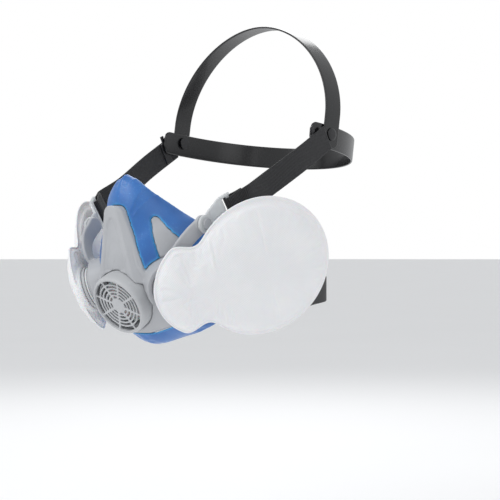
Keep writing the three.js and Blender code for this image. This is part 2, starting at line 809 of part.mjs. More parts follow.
function padOutline() {
  const end = filter.endRadius - filter.endReach;
  const turnedTo = radians(124);
  const neckExit = radians(137);
  const arcEnd = [end + filter.endRadius * Math.cos(turnedTo), filter.endRadius * Math.sin(turnedTo)];
  const lobeStart = [
    filter.lobeDistance + filter.lobeRadius * Math.cos(neckExit),
    filter.lobeRadius * Math.sin(neckExit),
  ];
  const upper = new THREE.Path();
  upper.absarc(end, 0, filter.endRadius, Math.PI, turnedTo, true);
  upper.bezierCurveTo(arcEnd[0] + 4.5, arcEnd[1] + 2.6, filter.neckAt - 4.5, filter.neckHalf + 0.6,
    filter.neckAt, filter.neckHalf);
  upper.bezierCurveTo(filter.neckAt + 5, filter.neckHalf - 0.6, lobeStart[0] - 4, lobeStart[1] - 4,
    lobeStart[0], lobeStart[1]);
  upper.absarc(filter.lobeDistance, 0, filter.lobeRadius, neckExit, 0, true);
  const half = upper.getSpacedPoints(22).map((p) => [p.x, p.y]);
  return [...half, ...half.slice(1, -1).toReversed().map(([x, y]) => [x, -y])];
}

function filterPad() {
  const outline = padOutline();
  const spine = ([x]) => [THREE.MathUtils.clamp(x, 10, filter.lobeDistance), 0];
  const ring = (share, height) =>
    outline.map(([x, y]) => {
      const [sx, sy] = spine([x, y]);
      return vec(sx + (x - sx) * share, sy + (y - sy) * share, height);
    });
  const weld = filter.weldThickness / 2;
  const inner = 1 - filter.weldWidth / filter.lobeRadius;
  const shares = [0.86, 0.72, 0.5, 0.2];
  const rise = (share, crown) => weld + crown * (1 - (share / inner) ** 2.4) ** 0.8;
  const top = shares.map((share) => ring(share, rise(share, filter.outerCrown - weld)));
  const bottom = shares.map((share) => ring(share, -rise(share, filter.innerCrown - weld)));
  const pad = loft([
    ...bottom.toReversed(),
    ring(inner, -weld),
    ring(1, -weld),
    ring(1, weld),
    ring(inner, weld),
    ...top,
  ]);
  return cut(pad, disc(flangeRadius + fitGap, -30, inlet.flangeTo + fitGap));
}

// ---------- buckles and straps ----------

const anchorHeading = (anchor) => fromList(anchor.bar).sub(fromList(anchor.pivot)).normalize();

// Outward side of a strap near its buckle: as close to straight sideways as the heading allows.
function anchorOut(anchor) {
  const heading = anchorHeading(anchor);
  const side = vec(1, 0, 0);
  return side.addScaledVector(heading, -side.dot(heading)).normalize();
}

// Local +X runs along the strap from its bar, +Z out from the wearer.
function barFrame(anchor) {
  const heading = anchorHeading(anchor);
  const out = anchorOut(anchor);
  const across = out.clone().cross(heading);
  return new THREE.Matrix4().makeBasis(heading, across, out).setPosition(fromList(anchor.bar));
}

function buckle(anchor) {
  const pivot = fromList(anchor.pivot);
  const bar = fromList(anchor.bar);
  const heading = anchorHeading(anchor);
  const out = anchorOut(anchor);
  const eye = disc(swivel.eyeRadius, -swivel.plate / 2, swivel.plate / 2, 22).rotateY(Math.PI / 2);
  eye.translate(...anchor.pivot);
  const wide = harness.strapWidth + 6;
  const level = vec(0, heading.y, heading.z).normalize();
  const path = [
    along(pivot, level, 2),
    along(pivot, level, 8.5),
    along(bar, heading, -8),
    along(bar, heading, -5.5),
    along(bar, heading, 2.4),
  ];
  const widths = [11, 14, wide - 1, wide, wide];
  const plate = sweep(
    path,
    (_, i) => (i < 2 ? vec(1, 0, 0) : out),
    (share) => slabSection(widths[Math.round(share * (path.length - 1))], swivel.plate, 0.5),
  );
  const slotWidth = harness.strapWidth + 1.6;
  const slot = moved(box(3.4, slotWidth, 12, -3.1, 0, 0), barFrame(anchor));
  const behind = moved(box(6, slotWidth, 12, 4.3, 0, 0), barFrame(anchor));
  const bore = disc(swivel.studRadius + runGap, -10, 10, 18).rotateY(Math.PI / 2);
  bore.translate(...anchor.pivot);
  return cut(join(eye, plate), slot, behind, bore);
}

// Webbing from its loose tail, round the buckle's bar through the slot, and on along its route.
// The two layers lie one on the other past the loop. outwards(point) is the side away from the wearer.
function strap(anchor, tail, route, outwards, steps) {
  const frame = barFrame(anchor);
  const place = (s, o) => vec(s, 0, o).applyMatrix4(frame);
  const bar = fromList(anchor.bar);
  const out = anchorOut(anchor);
  const pressed = harness.strapWall / 2 + 0.35;
  const r = harness.loopRadius;
  const merging = [[3, r - 0.4], [6, pressed + 0.35], [9, pressed]];
  const under = [[tail, pressed], ...(tail > 20 ? [[20, pressed]] : []), ...merging.toReversed()];
  const turn = spaced(-Math.PI / 2, (-3 * Math.PI) / 2, 9).map((a) => [Math.cos(a) * r, -Math.sin(a) * r]);
  const start = [
    ...under.map(([s, o]) => [place(s, -o), out.clone().negate()]),
    ...turn.map(([s, o]) => [place(s, -o), place(s, -o).sub(bar)]),
    ...merging.map(([s, o]) => [place(s, o), out]),
  ];
  const straight = spaced(9, tail + 2, 4).map((s) => place(s, pressed));
  const main = curveThrough([...straight, ...route], steps).slice(1);
  const path = [...start.map(([p]) => p), ...main];
  const facings = [
    ...start.map(([, f]) => f),
    ...main.map((p, i) => out.clone().lerp(outwards(p).normalize(), Math.min(1, (i + 1) / (steps * 0.5)))),
  ];
  return sweep(path, (_, i) => facings[i], slabSection(harness.strapWidth, harness.strapWall));
}

function upperStrap() {
  const acrossTo = (share) => THREE.MathUtils.lerp(upperAnchor.bar[0], strapEnd[0], share);
  const route = [vec(acrossTo(0.58), 15, 58), vec(acrossTo(0.93), 50, 78.5), fromList(strapEnd)];
  return strap(upperAnchor, 13, route, () => vec(1, 0, 0), 14);
}

// The neck strap's left half, from its buckle round to the clip behind the neck.
function neckStrap() {
  const { neckBackY, neckZ } = harness;
  const route = [
    vec(neckHalfWidth - 2, 88, neckZ - 3),
    vec(neckHalfWidth - 11, 117, neckZ - 1),
    vec(neckHalfWidth * 0.54, neckBackY - 8.5, neckZ),
    vec(clip.bodyTo + 6, neckBackY - 0.5, neckZ),
    vec(clip.bodyTo + 1, neckBackY, neckZ),
    vec(clip.bodyTo - clip.pocket + 1, neckBackY, neckZ),
  ];
  return strap(lowerAnchor, 34, route, (p) => vec(p.x, p.y - 87, 0), 22);
}

function neckSlider() {
  const frame = barFrame(lowerAnchor);
  const wide = harness.strapWidth + 1;
  const hole = 2 * harness.strapWall + 0.7 + 0.8;
  const body = box(8, wide + 3.6, hole + 2.8, 16, 0, 0);
  const ridges = [-2, 2].map((x) => box(1.2, wide - 2, 1, 16 + x, 0, hole / 2 + 1.7));
  return moved(cut(join(body, ...ridges), box(20, wide, hole, 16, 0, 0)), frame);
}

// ---------- clip behind the neck ----------

const clip = { bodyFrom: 8, bodyTo: 20, height: 26, thickness: 4.8, pocket: 7, barX: 3, bar: 1.3, wall: 1.6 };

function clipBody() {
  const { neckBackY, neckZ, strapWidth, strapWall } = harness;
  const length = clip.bodyTo - clip.bodyFrom;
  const middle = (clip.bodyTo + clip.bodyFrom) / 2;
  const body = box(length, clip.thickness, clip.height, middle, neckBackY, neckZ);
  const pocket = box(length, strapWall + 1.4, strapWidth + 1.2, middle + length - clip.pocket, neckBackY, neckZ);
  return cut(body, pocket);
}

function neckClipHook() {
  const { neckBackY, neckZ } = harness;
  const inner = clip.bar + 0.6;
  const outer = inner + clip.wall;
  const curl = spaced(Math.PI / 2, (3 * Math.PI) / 2, 9);
  const outline = [
    [clip.bodyFrom + 1, inner],
    [clip.bodyFrom + 1, outer],
    ...curl.map((a) => [Math.cos(a) * outer - clip.barX, Math.sin(a) * outer]),
    [0, -outer],
    [0, -inner],
    ...curl.toReversed().map((a) => [Math.cos(a) * inner - clip.barX, Math.sin(a) * inner]),
  ];
  const shape = new THREE.Shape(outline.map(([x, y]) => new THREE.Vector2(x, y)));
  const hook = new THREE.ExtrudeGeometry(shape, { depth: 12, bevelEnabled: false });
  hook.translate(0, neckBackY, neckZ - 6);
  const stem = box(3, 2 * outer, 12, clip.bodyFrom + 1.5, neckBackY, neckZ);
  return join(clipBody(), hook, stem);
}

function neckClipLoop() {
  const { neckBackY, neckZ } = harness;
  const body = mirrored(clipBody());
  const armFrom = -clip.bodyFrom - 1;
  const armTo = -clip.barX + clip.bar + 0.4;
  const sides = [-1, 1].map((side) =>
    box(armTo - armFrom, 2.8, 2.4, (armTo + armFrom) / 2, neckBackY, neckZ + side * 8.4));
  const bar = disc(clip.bar, -9.6, 9.6, 16);
  bar.translate(-clip.barX, neckBackY, neckZ);
  return join(body, ...sides, bar);
}

// ---------- head cradle ----------

const bandSteps = 28;
const bandMiddleX = harness.headHalfWidth + harness.bandWall / 2;
const bandZ = (y) => harness.rivetZ - 2 - harness.bandFall * (y - harness.rivetY);
const rivetBore = (radius) => {
  const bore = disc(radius, -200, 200, 16).rotateY(Math.PI / 2);
  return bore.translate(0, harness.rivetY, harness.rivetZ);
};

function rearBand() {
  const half = harness.headHalfLength + harness.bandWall / 2;
  const frontAngle = Math.asin((harness.bandFrontY - harness.headCentreY) / half);
  const path = spaced(frontAngle, Math.PI - frontAngle, bandSteps + 1).map((a) => {
    const y = harness.headCentreY + half * Math.sin(a);
    return vec(bandMiddleX * Math.cos(a), y, bandZ(y));
  });
  const out = (p) => {
    const back = (p.y - harness.headCentreY) / half;
    return vec(p.x / bandMiddleX, back, -0.16 * Math.max(0, back));
  };
  const end = (share) => Math.min(share, 1 - share) * bandSteps;
  const section = (share) =>
    slabSection(end(share) < 0.5 ? harness.bandWidth - 5 : harness.bandWidth, harness.bandWall, 0.35);
  return cut(sweep(path, out, section), rivetBore(harness.rivetRadius + fitGap));
}

function crownBand() {
  const { crownCentreZ, crownTopZ, crownLean, crownRoundness, rivetZ, rivetY } = harness;
  const rise = crownTopZ - harness.bandWall / 2 - crownCentreZ;
  const lean = (z) => rivetY + (crownLean * (z - rivetZ)) / (crownTopZ - rivetZ);
  const arch = spaced(0, Math.PI, bandSteps + 1).map((a) => {
    const power = 2 / crownRoundness;
    const x = crownHalfWidth * Math.sign(Math.cos(a)) * Math.abs(Math.cos(a)) ** power;
    const z = crownCentreZ + rise * Math.sin(a) ** power;
    return vec(x, lean(z), z);
  });
  const foot = (side) => [rivetZ - 10.5, rivetZ - 8, rivetZ, rivetZ + 8].map((z) => vec(side * crownHalfWidth, lean(z), z));
  const path = [...foot(1), ...arch, ...foot(-1).toReversed()];
  const out = (p) => vec(p.x, 0, Math.max(0, p.z - crownCentreZ + 0.001)).normalize();
  const last = path.length - 1;
  const section = (share) => {
    const fromEnd = Math.min(share, 1 - share) * last;
    return slabSection(fromEnd < 0.5 ? harness.bandWidth - 5 : harness.bandWidth, harness.bandWall, 0.35);
  };
  return cut(sweep(path, out, section), rivetBore(harness.rivetRadius + runGap));
}

// Rivet that holds the crown band to the rear band and lets it tip.
function cradleRivet() {
  const inner = harness.headHalfWidth - 2.2;
  const outer = crownHalfWidth + harness.bandWall / 2 + runGap;
  const shaft = disc(harness.rivetRadius, inner, outer + 0.5, 16);
  const cap = turned([[0, outer], [5.2, outer], [5, outer + 0.7], [3.4, outer + 1.3], [0, outer + 1.4]], 20);
  const washer = disc(5, inner - 0.2, harness.headHalfWidth - 1.4, 20);
  const rivet = join(shaft, cap, washer).rotateY(Math.PI / 2);
  return rivet.translate(0, harness.rivetY, harness.rivetZ);
}

// Small plate under the upper strap's end, with a tab that stands above the strap.
function strapKeeper() {
  const outer = strapEnd[0] - harness.strapWall / 2 - 2 * fitGap;
  const inner = bandMiddleX + harness.bandWall / 2 + fitGap;
  const rise = Math.atan2(19, 36);
  const plate = box(outer - inner, 7, harness.strapWidth - 2, (outer + inner) / 2, 0, 0);
  const tab = box(outer - inner, 3.4, 7, (outer + inner) / 2, 1.2, harness.strapWidth / 2 + 1.5);
  return join(plate, tab).rotateX(rise).translate(0, 70.5, 91);
}

// ---------- assembly ----------

const group = new THREE.Group();
const left = new THREE.Group();
const right = new THREE.Group();
right.scale.x = -1;
group.add(left, right);

function piece(parent, name, geometry, look) {
  const mesh = new THREE.Mesh(geometry, new THREE.MeshStandardMaterial(look));
  mesh.name = name;
  parent.add(mesh);
  return mesh;
}

function pair(name, geometry, look) {
  piece(left, `${name}_left`, geometry, look);
  piece(right, `${name}_right`, geometry, look);
}

function placedGroup(parent, matrix) {
  const holder = new THREE.Group();
  matrix.decompose(holder.position, holder.quaternion, holder.scale);
  parent.add(holder);
  return holder;
}

piece(group, "face_seal", faceSeal(), blue);
piece(group, "inner_shell", innerShell(), grey);
piece(group, "front_yoke", frontYoke(), grey);

const valveGroup = placedGroup(group, valveFrame);
piece(valveGroup, "exhalation_seat", exhalationSeat(), paleGrey);
piece(valveGroup, "exhalation_flap", exhalationFlap(), silicone);
piece(valveGroup, "exhalation_cover", exhalationCover(), paleGrey);

for (const [side, name] of [[left, "left"], [right, "right"]]) {
  const inletGroup = placedGroup(side, inletFrame);
  piece(inletGroup, `inlet_port_${name}`, inletPort(), grey);
  piece(inletGroup, `inhalation_flap_${name}`, inhalationFlap(), silicone);
  piece(inletGroup, `port_gasket_${name}`, portGasket(), silicone);
  piece(inletGroup, `filter_plug_${name}`, filterPlug(), paleGrey);
  piece(inletGroup, `filter_pad_${name}`, filterPad(), white);
}

pair("upper_buckle", buckle(upperAnchor), clear);
pair("upper_strap", upperStrap(), webbing);
pair("lower_buckle", buckle(lowerAnchor), clear);
pair("neck_strap", neckStrap(), webbing);
pair("neck_slider", neckSlider(), black);
piece(group, "neck_clip_hook", neckClipHook(), black);
piece(group, "neck_clip_loop", neckClipLoop(), black);
piece(group, "rear_band", rearBand(), black);
piece(group, "crown_band", crownBand(), black);
pair("cradle_rivet", cradleRivet(), black);
pair("strap_keeper", strapKeeper(), black);

export default group;
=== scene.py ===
import json
import math

import bpy
import numpy as np
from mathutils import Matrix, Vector

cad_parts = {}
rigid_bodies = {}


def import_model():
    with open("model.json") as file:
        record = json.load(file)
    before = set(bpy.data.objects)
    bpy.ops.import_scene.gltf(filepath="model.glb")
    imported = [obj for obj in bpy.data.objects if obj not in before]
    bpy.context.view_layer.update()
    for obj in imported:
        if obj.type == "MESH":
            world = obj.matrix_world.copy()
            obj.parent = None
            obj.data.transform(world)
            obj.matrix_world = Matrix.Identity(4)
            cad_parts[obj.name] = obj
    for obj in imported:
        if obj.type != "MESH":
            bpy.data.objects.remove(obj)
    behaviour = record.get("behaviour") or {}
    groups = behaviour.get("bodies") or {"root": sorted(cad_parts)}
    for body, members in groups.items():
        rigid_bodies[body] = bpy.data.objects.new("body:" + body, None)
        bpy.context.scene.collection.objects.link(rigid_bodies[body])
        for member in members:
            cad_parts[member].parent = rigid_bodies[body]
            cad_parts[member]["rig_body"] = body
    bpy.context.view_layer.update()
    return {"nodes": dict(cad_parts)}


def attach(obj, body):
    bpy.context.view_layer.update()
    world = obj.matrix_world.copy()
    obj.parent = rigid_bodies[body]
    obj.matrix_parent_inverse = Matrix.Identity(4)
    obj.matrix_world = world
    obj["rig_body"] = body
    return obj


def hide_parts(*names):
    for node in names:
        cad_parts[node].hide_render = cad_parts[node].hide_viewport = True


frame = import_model()
nodes = frame["nodes"]
print("frame loaded:", len(nodes), "nodes")

# Camera, floor and light.

view = {
    "target": (0.0422, 0.0367, 0.0090),
    "azimuth": 41,
    "distance": 1.2,
    "lens": 111,
    "floorZ": -0.235,
    "floorRadius": 40,
}


def makeCamera():
    turn = math.radians(view["azimuth"])
    back = Vector((math.sin(turn), -math.cos(turn), 0))
    data = bpy.data.cameras.new("camera")
    data.lens = view["lens"]
    data.sensor_width = 36
    data.clip_start = 0.05
    camera = bpy.data.objects.new("camera", data)
    bpy.context.scene.collection.objects.link(camera)
    camera.location = Vector(view["target"]) + back * view["distance"]
    camera.rotation_euler = (-back).to_track_quat("-Z", "Y").to_euler()
    bpy.context.scene.camera = camera


lights = {
    "key": {"place": (-0.25, -1.0, 0.95), "size": 0.8, "watts": 6.5},
    "fill": {"place": (1.2, -0.2, 0.6), "size": 0.9, "watts": 1.5},
    "rim": {"place": (-0.7, 0.9, 0.9), "size": 0.9, "watts": 6},
    "sky": 0.74,
    "backdrop": 1.0,
}


def makeLights():
    for name in ("key", "fill", "rim"):
        info = lights[name]
        data = bpy.data.lights.new(name, "AREA")
        data.energy = info["watts"]
        data.size = info["size"]
        lamp = bpy.data.objects.new(name, data)
        bpy.context.scene.collection.objects.link(lamp)
        lamp.location = info["place"]
        aim = Vector((0, 0.02, 0.02)) - lamp.location
        lamp.rotation_euler = aim.to_track_quat("-Z", "Y").to_euler()
    world = bpy.data.worlds.new("studio")
    world.use_nodes = True
    tree = world.node_tree
    soft = tree.nodes["Background"]
    soft.inputs["Color"].default_value = (0.97, 0.985, 1, 1)
    soft.inputs["Strength"].default_value = lights["sky"]
    backdrop = tree.nodes.new("ShaderNodeBackground")  # what the camera sees behind the object
    backdrop.inputs["Color"].default_value = (1, 1, 1, 1)
    backdrop.inputs["Strength"].default_value = lights["backdrop"]
    path = tree.nodes.new("ShaderNodeLightPath")
    mix = tree.nodes.new("ShaderNodeMixShader")
    tree.links.new(path.outputs["Is Camera Ray"], mix.inputs["Fac"])
    tree.links.new(soft.outputs["Background"], mix.inputs[1])
    tree.links.new(backdrop.outputs["Background"], mix.inputs[2])
    tree.links.new(mix.outputs["Shader"], tree.nodes["World Output"].inputs["Surface"])
    bpy.context.scene.world = world


makeCamera()
makeLights()
bpy.context.scene.view_settings.view_transform = "Standard"
print("camera and lights made")

# Surfaces worked out with numpy.


def unit(v):
    return v / np.linalg.norm(v, axis=-1, keepdims=True)


# Centripetal Catmull-Rom curve through the points: each span is a cubic whose end slopes come from
# the square roots of the chord lengths. The result is count points evenly spaced along its length.
def curveThrough(points, count, closed=False):
    p = np.asarray(points, float)
    if closed:
        p = np.vstack([p[-1:], p, p[:2]])
    else:
        p = np.vstack([2 * p[0] - p[1], p, 2 * p[-1] - p[-2]])
    a, b, c, d = p[:-3], p[1:-2], p[2:-1], p[3:]
    gap = [np.sqrt(np.linalg.norm(v - u, axis=1, keepdims=True)) for u, v in ((a, b), (b, c), (c, d))]
    startSlope = ((b - a) / gap[0] - (c - a) / (gap[0] + gap[1]) + (c - b) / gap[1]) * gap[1]
    endSlope = ((c - b) / gap[1] - (d - b) / (gap[1] + gap[2]) + (d - c) / gap[2]) * gap[1]
    t = np.linspace(0, 1, 60)[:, None, None]
    dense = b + startSlope * t
    dense = dense + (-3 * b + 3 * c - 2 * startSlope - endSlope) * t**2
    dense = dense + (2 * b - 2 * c + startSlope + endSlope) * t**3
    dense = dense.transpose(1, 0, 2).reshape(-1, 3)
    run = np.concatenate([[0], np.cumsum(np.linalg.norm(np.diff(dense, axis=0), axis=1))])
    wanted = np.linspace(0, run[-1], count)
    return np.stack([np.interp(wanted, run, dense[:, k]) for k in range(3)], axis=1)


# A closed tube of quads over rings[n, m]: ring n joins ring n+1 and point m joins m+1 round the ring.
# Each end is closed with a strip of quads between point k and its opposite, point m - k.
# uv holds a pair for every ring and for m+1 places round it.
def tubeMesh(name, rings, uv=None):
    n, m = rings.shape[:2]
    i, j = np.meshgrid(np.arange(n - 1), np.arange(m), indexing="ij")
    k = (j + 1) % m
    quads = np.stack([i * m + j, i * m + k, (i + 1) * m + k, (i + 1) * m + j], axis=-1).reshape(-1, 4)
    points = rings.reshape(-1, 3)
    corner = points[quads]
    volume = np.einsum("ij,ij->i", corner[:, 0], np.cross(corner[:, 1], corner[:, 2])).sum()
    k = np.arange(1, m // 2 - 1)
    strip = np.stack([k, k + 1, m - k - 1, m - k], axis=1)
    tips = np.array([[0, 1, m - 1], [m // 2 - 1, m // 2, m // 2 + 1]])
    caps = [strip[:, ::-1], strip + (n - 1) * m, tips[:, ::-1], tips + (n - 1) * m]
    corners = [(i, j), (i, j + 1), (i + 1, j + 1), (i + 1, j)]
    if volume < 0:
        quads = quads[:, ::-1]
        caps = [cap[:, ::-1] for cap in caps]
        corners = corners[::-1]
    mesh = bpy.data.meshes.new(name)
    mesh.from_pydata(points, [], quads.tolist() + [face for cap in caps for face in cap.tolist()])
    if uv is not None:
        layer = mesh.uv_layers.new(name="flat")
        flat = np.stack([uv[a, b] for a, b in corners], axis=2).reshape(-1, 2)
        ends = [uv[:, :m].reshape(-1, 2)[cap.ravel()] for cap in caps]
        layer.data.foreach_set("uv", np.vstack([flat, *ends]).astype(np.float32).ravel())
    mesh.polygons.foreach_set("use_smooth", np.ones(len(mesh.polygons), bool))
    mesh.update()
    return mesh


def addPiece(name, mesh, body, material, slot, *stoodFor):
    piece = bpy.data.objects.new(name, mesh)
    bpy.context.scene.collection.objects.link(piece)
    mesh.materials.clear()
    mesh.materials.append(material)
    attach(piece, body)
    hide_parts(*stoodFor)
    return piece


# The same mesh on the wearer's other side: x changes sign and every face is turned round.
def mirroredMesh(mesh, name):
    other = mesh.copy()
    other.name = name
    co = np.empty(len(other.vertices) * 3, np.float32)
    other.vertices.foreach_get("co", co)
    co[0::3] *= -1
    other.vertices.foreach_set("co", co)
    other.flip_normals()
    return other


# Rings of a ribbon: a rounded slab section carried along a path, its flat side turned to facing.
# The section is a superellipse of high power, so that the flats stay flat and the edges are round.
def ribbonRings(path, facing, width, wall, around=36, power=7.0, edge=0.0):
    heading = unit(np.gradient(path, axis=0))
    out = unit(facing - (facing * heading).sum(1, keepdims=True) * heading)
    across = np.cross(heading, out)
    a = np.linspace(0, 2 * np.pi, around, endpoint=False)
    spread = np.sign(np.cos(a)) * np.abs(np.cos(a)) ** (2 / (power * 2.6))
    lift = np.sign(np.sin(a)) * np.abs(np.sin(a)) ** (2 / 2.6)
    lift = lift * (1 + edge * np.abs(spread) ** 8)
    width = np.broadcast_to(width, len(path))
    rings = path[:, None] + across[:, None] * (width[:, None] / 2 * spread)[..., None]
    return rings + out[:, None] * (wall / 2 * lift)[None, :, None]


def ribbonUv(path, width, around=36):
    run = np.concatenate([[0], np.cumsum(np.linalg.norm(np.diff(path, axis=0), axis=1))])
    a = np.linspace(0, 2 * np.pi, around + 1)
    u = np.where(a <= np.pi, (1 - a / np.pi), (a / np.pi - 1)) * width
    uv = np.empty((len(path), around + 1, 2))
    uv[..., 0] = u
    uv[..., 1] = run[:, None]
    return uv, run[-1]


# The mask's outer form.

maskForm = {
    "halfWidth": 0.057,
    "noseHeight": 0.066,
    "chinHeight": 0.063,
    "frontDepth": 0.067,
    "frontLean": 0.1,
    "edge": [
        (0, 1, -0.055), (0.32, 0.82, -0.050), (0.42, 0.71, -0.040), (0.56, 0.56, -0.027),
        (0.7, 0.45, -0.019), (0.91, 0.15, 0), (1, -0.16, 0.010), (0.91, -0.56, 0.008),
        (0.67, -0.81, -0.010), (0.39, -0.905, -0.016), (0, -1, -0.023),
    ],
}


def maskEdge():
    rows = np.array(maskForm["edge"], float)
    rows = np.vstack([rows, rows[-2:0:-1] * (-1, 1, 1)])
    height = np.where(rows[:, 1] > 0, maskForm["noseHeight"], maskForm["chinHeight"])
    points = np.stack([rows[:, 0] * maskForm["halfWidth"], rows[:, 2], rows[:, 1] * height], axis=1)
    loop = curveThrough(points, 1200, closed=True)[:-1]
    angle = np.arctan2(loop[:, 0], loop[:, 2])
    order = np.argsort(angle)
    return angle[order], loop[order]


edgeAngle, edgePoint = maskEdge()


# Every direction round the mask runs from the front to the seal's edge on a quarter ellipse, so
# (1 - (y - front) / depth) squared + (r / edge r) squared = 1 on the surface. Depth under the surface
# is that sum less 1, divided by the length of its slope.
def formValue(p):
    angle = np.arctan2(p[:, 0], p[:, 2])
    along = [np.interp(angle, edgeAngle, edgePoint[:, k], period=2 * np.pi) for k in range(3)]
    edge = np.stack(along, axis=1)
    reach = np.hypot(edge[:, 0], edge[:, 2])
    front = -maskForm["frontDepth"] - maskForm["frontLean"] * p[:, 2]
    depth = edge[:, 1] + maskForm["frontDepth"] + maskForm["frontLean"] * edge[:, 2]
    rise = np.clip((p[:, 1] - front) / depth, -0.5, 1)
    return (1 - rise) ** 2 + (np.hypot(p[:, 0], p[:, 2]) / reach) ** 2 - 1


def formDepth(p):
    step = 5e-5
    slope = np.empty_like(p)
    for k in range(3):
        shift = np.zeros(3)
        shift[k] = step
        slope[:, k] = (formValue(p + shift) - formValue(p - shift)) / (2 * step)
    size = np.maximum(np.linalg.norm(slope, axis=1), 1e-6)
    return -formValue(p) / size, slope / size[:, None]


def verticesOf(mesh):
    co = np.empty(len(mesh.vertices) * 3, np.float32)
    mesh.vertices.foreach_get("co", co)
    return co.reshape(-1, 3).astype(float)


def normalsOf(mesh):
    co = np.empty(len(mesh.vertices) * 3, np.float32)
    mesh.vertex_normals.foreach_get("vector", co)
    return co.reshape(-1, 3).astype(float)


# A moulded copy of a hard or rubber part: its corners get small radii from a fine remesh and a few
# rounds of smoothing, and its broad faces are put back exactly on the mask's form at the depths given.
def mouldedMesh(name, voxel, rounds, depths=()):
    mesh = nodes[name].data.copy()
    work = bpy.data.objects.new("work", mesh)
    bpy.context.scene.collection.objects.link(work)
    weld = work.modifiers.new("weld", "WELD")
    weld.merge_threshold = 2e-6
    remesh = work.modifiers.new("remesh", "REMESH")
    remesh.mode = "VOXEL"
    remesh.voxel_size = voxel
    smooth = work.modifiers.new("smooth", "SMOOTH")
    smooth.factor = 0.5
    smooth.iterations = rounds
    shaped = bpy.data.meshes.new_from_object(work.evaluated_get(bpy.context.evaluated_depsgraph_get()))
    bpy.data.objects.remove(work)
    co = verticesOf(shaped)
    if depths:
        near, outwards = formDepth(co)
        level = np.abs((outwards * normalsOf(shaped)).sum(1))
        facing = np.clip((level - 0.8) / 0.15, 0, 1)
        for depth in depths:
            miss = near - depth
            share = facing * np.clip((6e-4 - np.abs(miss)) / 2.5e-4, 0, 1)
            co += outwards * (miss * share)[:, None]
            near = near - miss * share
        shaped.vertices.foreach_set("co", co.astype(np.float32).ravel())
    shaped.polygons.foreach_set("use_smooth", np.ones(len(shaped.polygons), bool))
    shaped.name = name + "_moulded"
    shaped.update()
    return shaped


# Effects shared by the materials.


def newGroup(name, inputs, outputs):
    tree = bpy.data.node_groups.new(name, "ShaderNodeTree")
    for label, kind, value in inputs:
        socket = tree.interface.new_socket(label, in_out="INPUT", socket_type=kind)
        if value is not None:
            socket.default_value = value
    for label, kind in outputs:
        tree.interface.new_socket(label, in_out="OUTPUT", socket_type=kind)
    return tree, tree.nodes.new("NodeGroupInput"), tree.nodes.new("NodeGroupOutput")


def addMath(tree, operation, first, second=None, third=None):
    node = tree.nodes.new("ShaderNodeMath")
    node.operation = operation
    for socket, value in zip(node.inputs, (first, second, third)):
        if value is None:
            continue
        if isinstance(value, (int, float)):
            socket.default_value = value
        else:
            tree.links.new(value, socket)
    return node.outputs[0]


def addNoise(tree, vector, scale, detail=3.0, roughness=0.5):
    noise = tree.nodes.new("ShaderNodeTexNoise")
    noise.inputs["Detail"].default_value = detail
    noise.inputs["Roughness"].default_value = roughness
    if isinstance(scale, (int, float)):
        noise.inputs["Scale"].default_value = scale
    else:
        tree.links.new(scale, noise.inputs["Scale"])
    tree.links.new(vector, noise.inputs["Vector"])
    return noise.outputs["Fac"]


def addRange(tree, value, low, high, toLow=0.0, toHigh=1.0):
    node = tree.nodes.new("ShaderNodeMapRange")
    node.interpolation_type = "SMOOTHSTEP"
    tree.links.new(value, node.inputs["Value"])
    for label, number in (("From Min", low), ("From Max", high), ("To Min", toLow), ("To Max", toHigh)):
        node.inputs[label].default_value = number
    return node.outputs["Result"]


# Fine spark-eroded grain of a moulding: two sizes of noise for the height, a broad one for the tint.
def grainGroup():
    tree, given, out = newGroup(
        "mouldGrain",
        [("Vector", "NodeSocketVector", None), ("Scale", "NodeSocketFloat", 1.0)],
        [("Height", "NodeSocketFloat"), ("Tint", "NodeSocketFloat")],
    )
    place, scale = given.outputs["Vector"], given.outputs["Scale"]
    fine = addNoise(tree, place, addMath(tree, "MULTIPLY", scale, 2600.0), 2.0)
    coarse = addNoise(tree, place, addMath(tree, "MULTIPLY", scale, 700.0), 2.0)
    broad = addNoise(tree, place, addMath(tree, "MULTIPLY", scale, 38.0), 3.0)
    height = addMath(tree, "MULTIPLY_ADD", coarse, 0.5, addMath(tree, "MULTIPLY", fine, 0.5))
    tree.links.new(height, out.inputs["Height"])
    tree.links.new(addRange(tree, broad, 0.3, 0.7), out.inputs["Tint"])
    return tree


# Rubs and faint marks from handling: long thin streaks of stretched noise, only in some places.
def handlingGroup():
    tree, given, out = newGroup(
        "handlingMarks",
        [("Vector", "NodeSocketVector", None), ("Amount", "NodeSocketFloat", 0.5)],
        [("Mask", "NodeSocketFloat")],
    )
    mapping = tree.nodes.new("ShaderNodeMapping")
    mapping.inputs["Scale"].default_value = (1.0, 6.0, 3.0)
    mapping.inputs["Rotation"].default_value = (0.5, 0.3, 0.8)
    tree.links.new(given.outputs["Vector"], mapping.inputs["Vector"])
    streaks = addRange(tree, addNoise(tree, mapping.outputs["Vector"], 260.0, 4.0, 0.6), 0.58, 0.72)
    where = addRange(tree, addNoise(tree, given.outputs["Vector"], 30.0, 2.0), 0.45, 0.65)
    both = addMath(tree, "MULTIPLY", streaks, where)
    tree.links.new(addMath(tree, "MULTIPLY", both, given.outputs["Amount"]), out.inputs["Mask"])
    return tree


mouldGrain = grainGroup()
handlingMarks = handlingGroup()


def startMaterial(name, roughness, **sockets):
    material = bpy.data.materials.new(name)
    material.use_nodes = True
    tree = material.node_tree
    shader = tree.nodes["Principled BSDF"]
    shader.inputs["Roughness"].default_value = roughness
    for label, value in sockets.items():
        shader.inputs[label.replace("_", " ")].default_value = value
    return material, tree, shader


def objectVector(tree):
    return tree.nodes.new("ShaderNodeTexCoord").outputs["Object"]


def useGroup(tree, group, **values):
    node = tree.nodes.new("ShaderNodeGroup")
    node.node_tree = group
    for label, value in values.items():
        if isinstance(value, (int, float)):
            node.inputs[label].default_value = value
        else:
            tree.links.new(value, node.inputs[label])
    return node


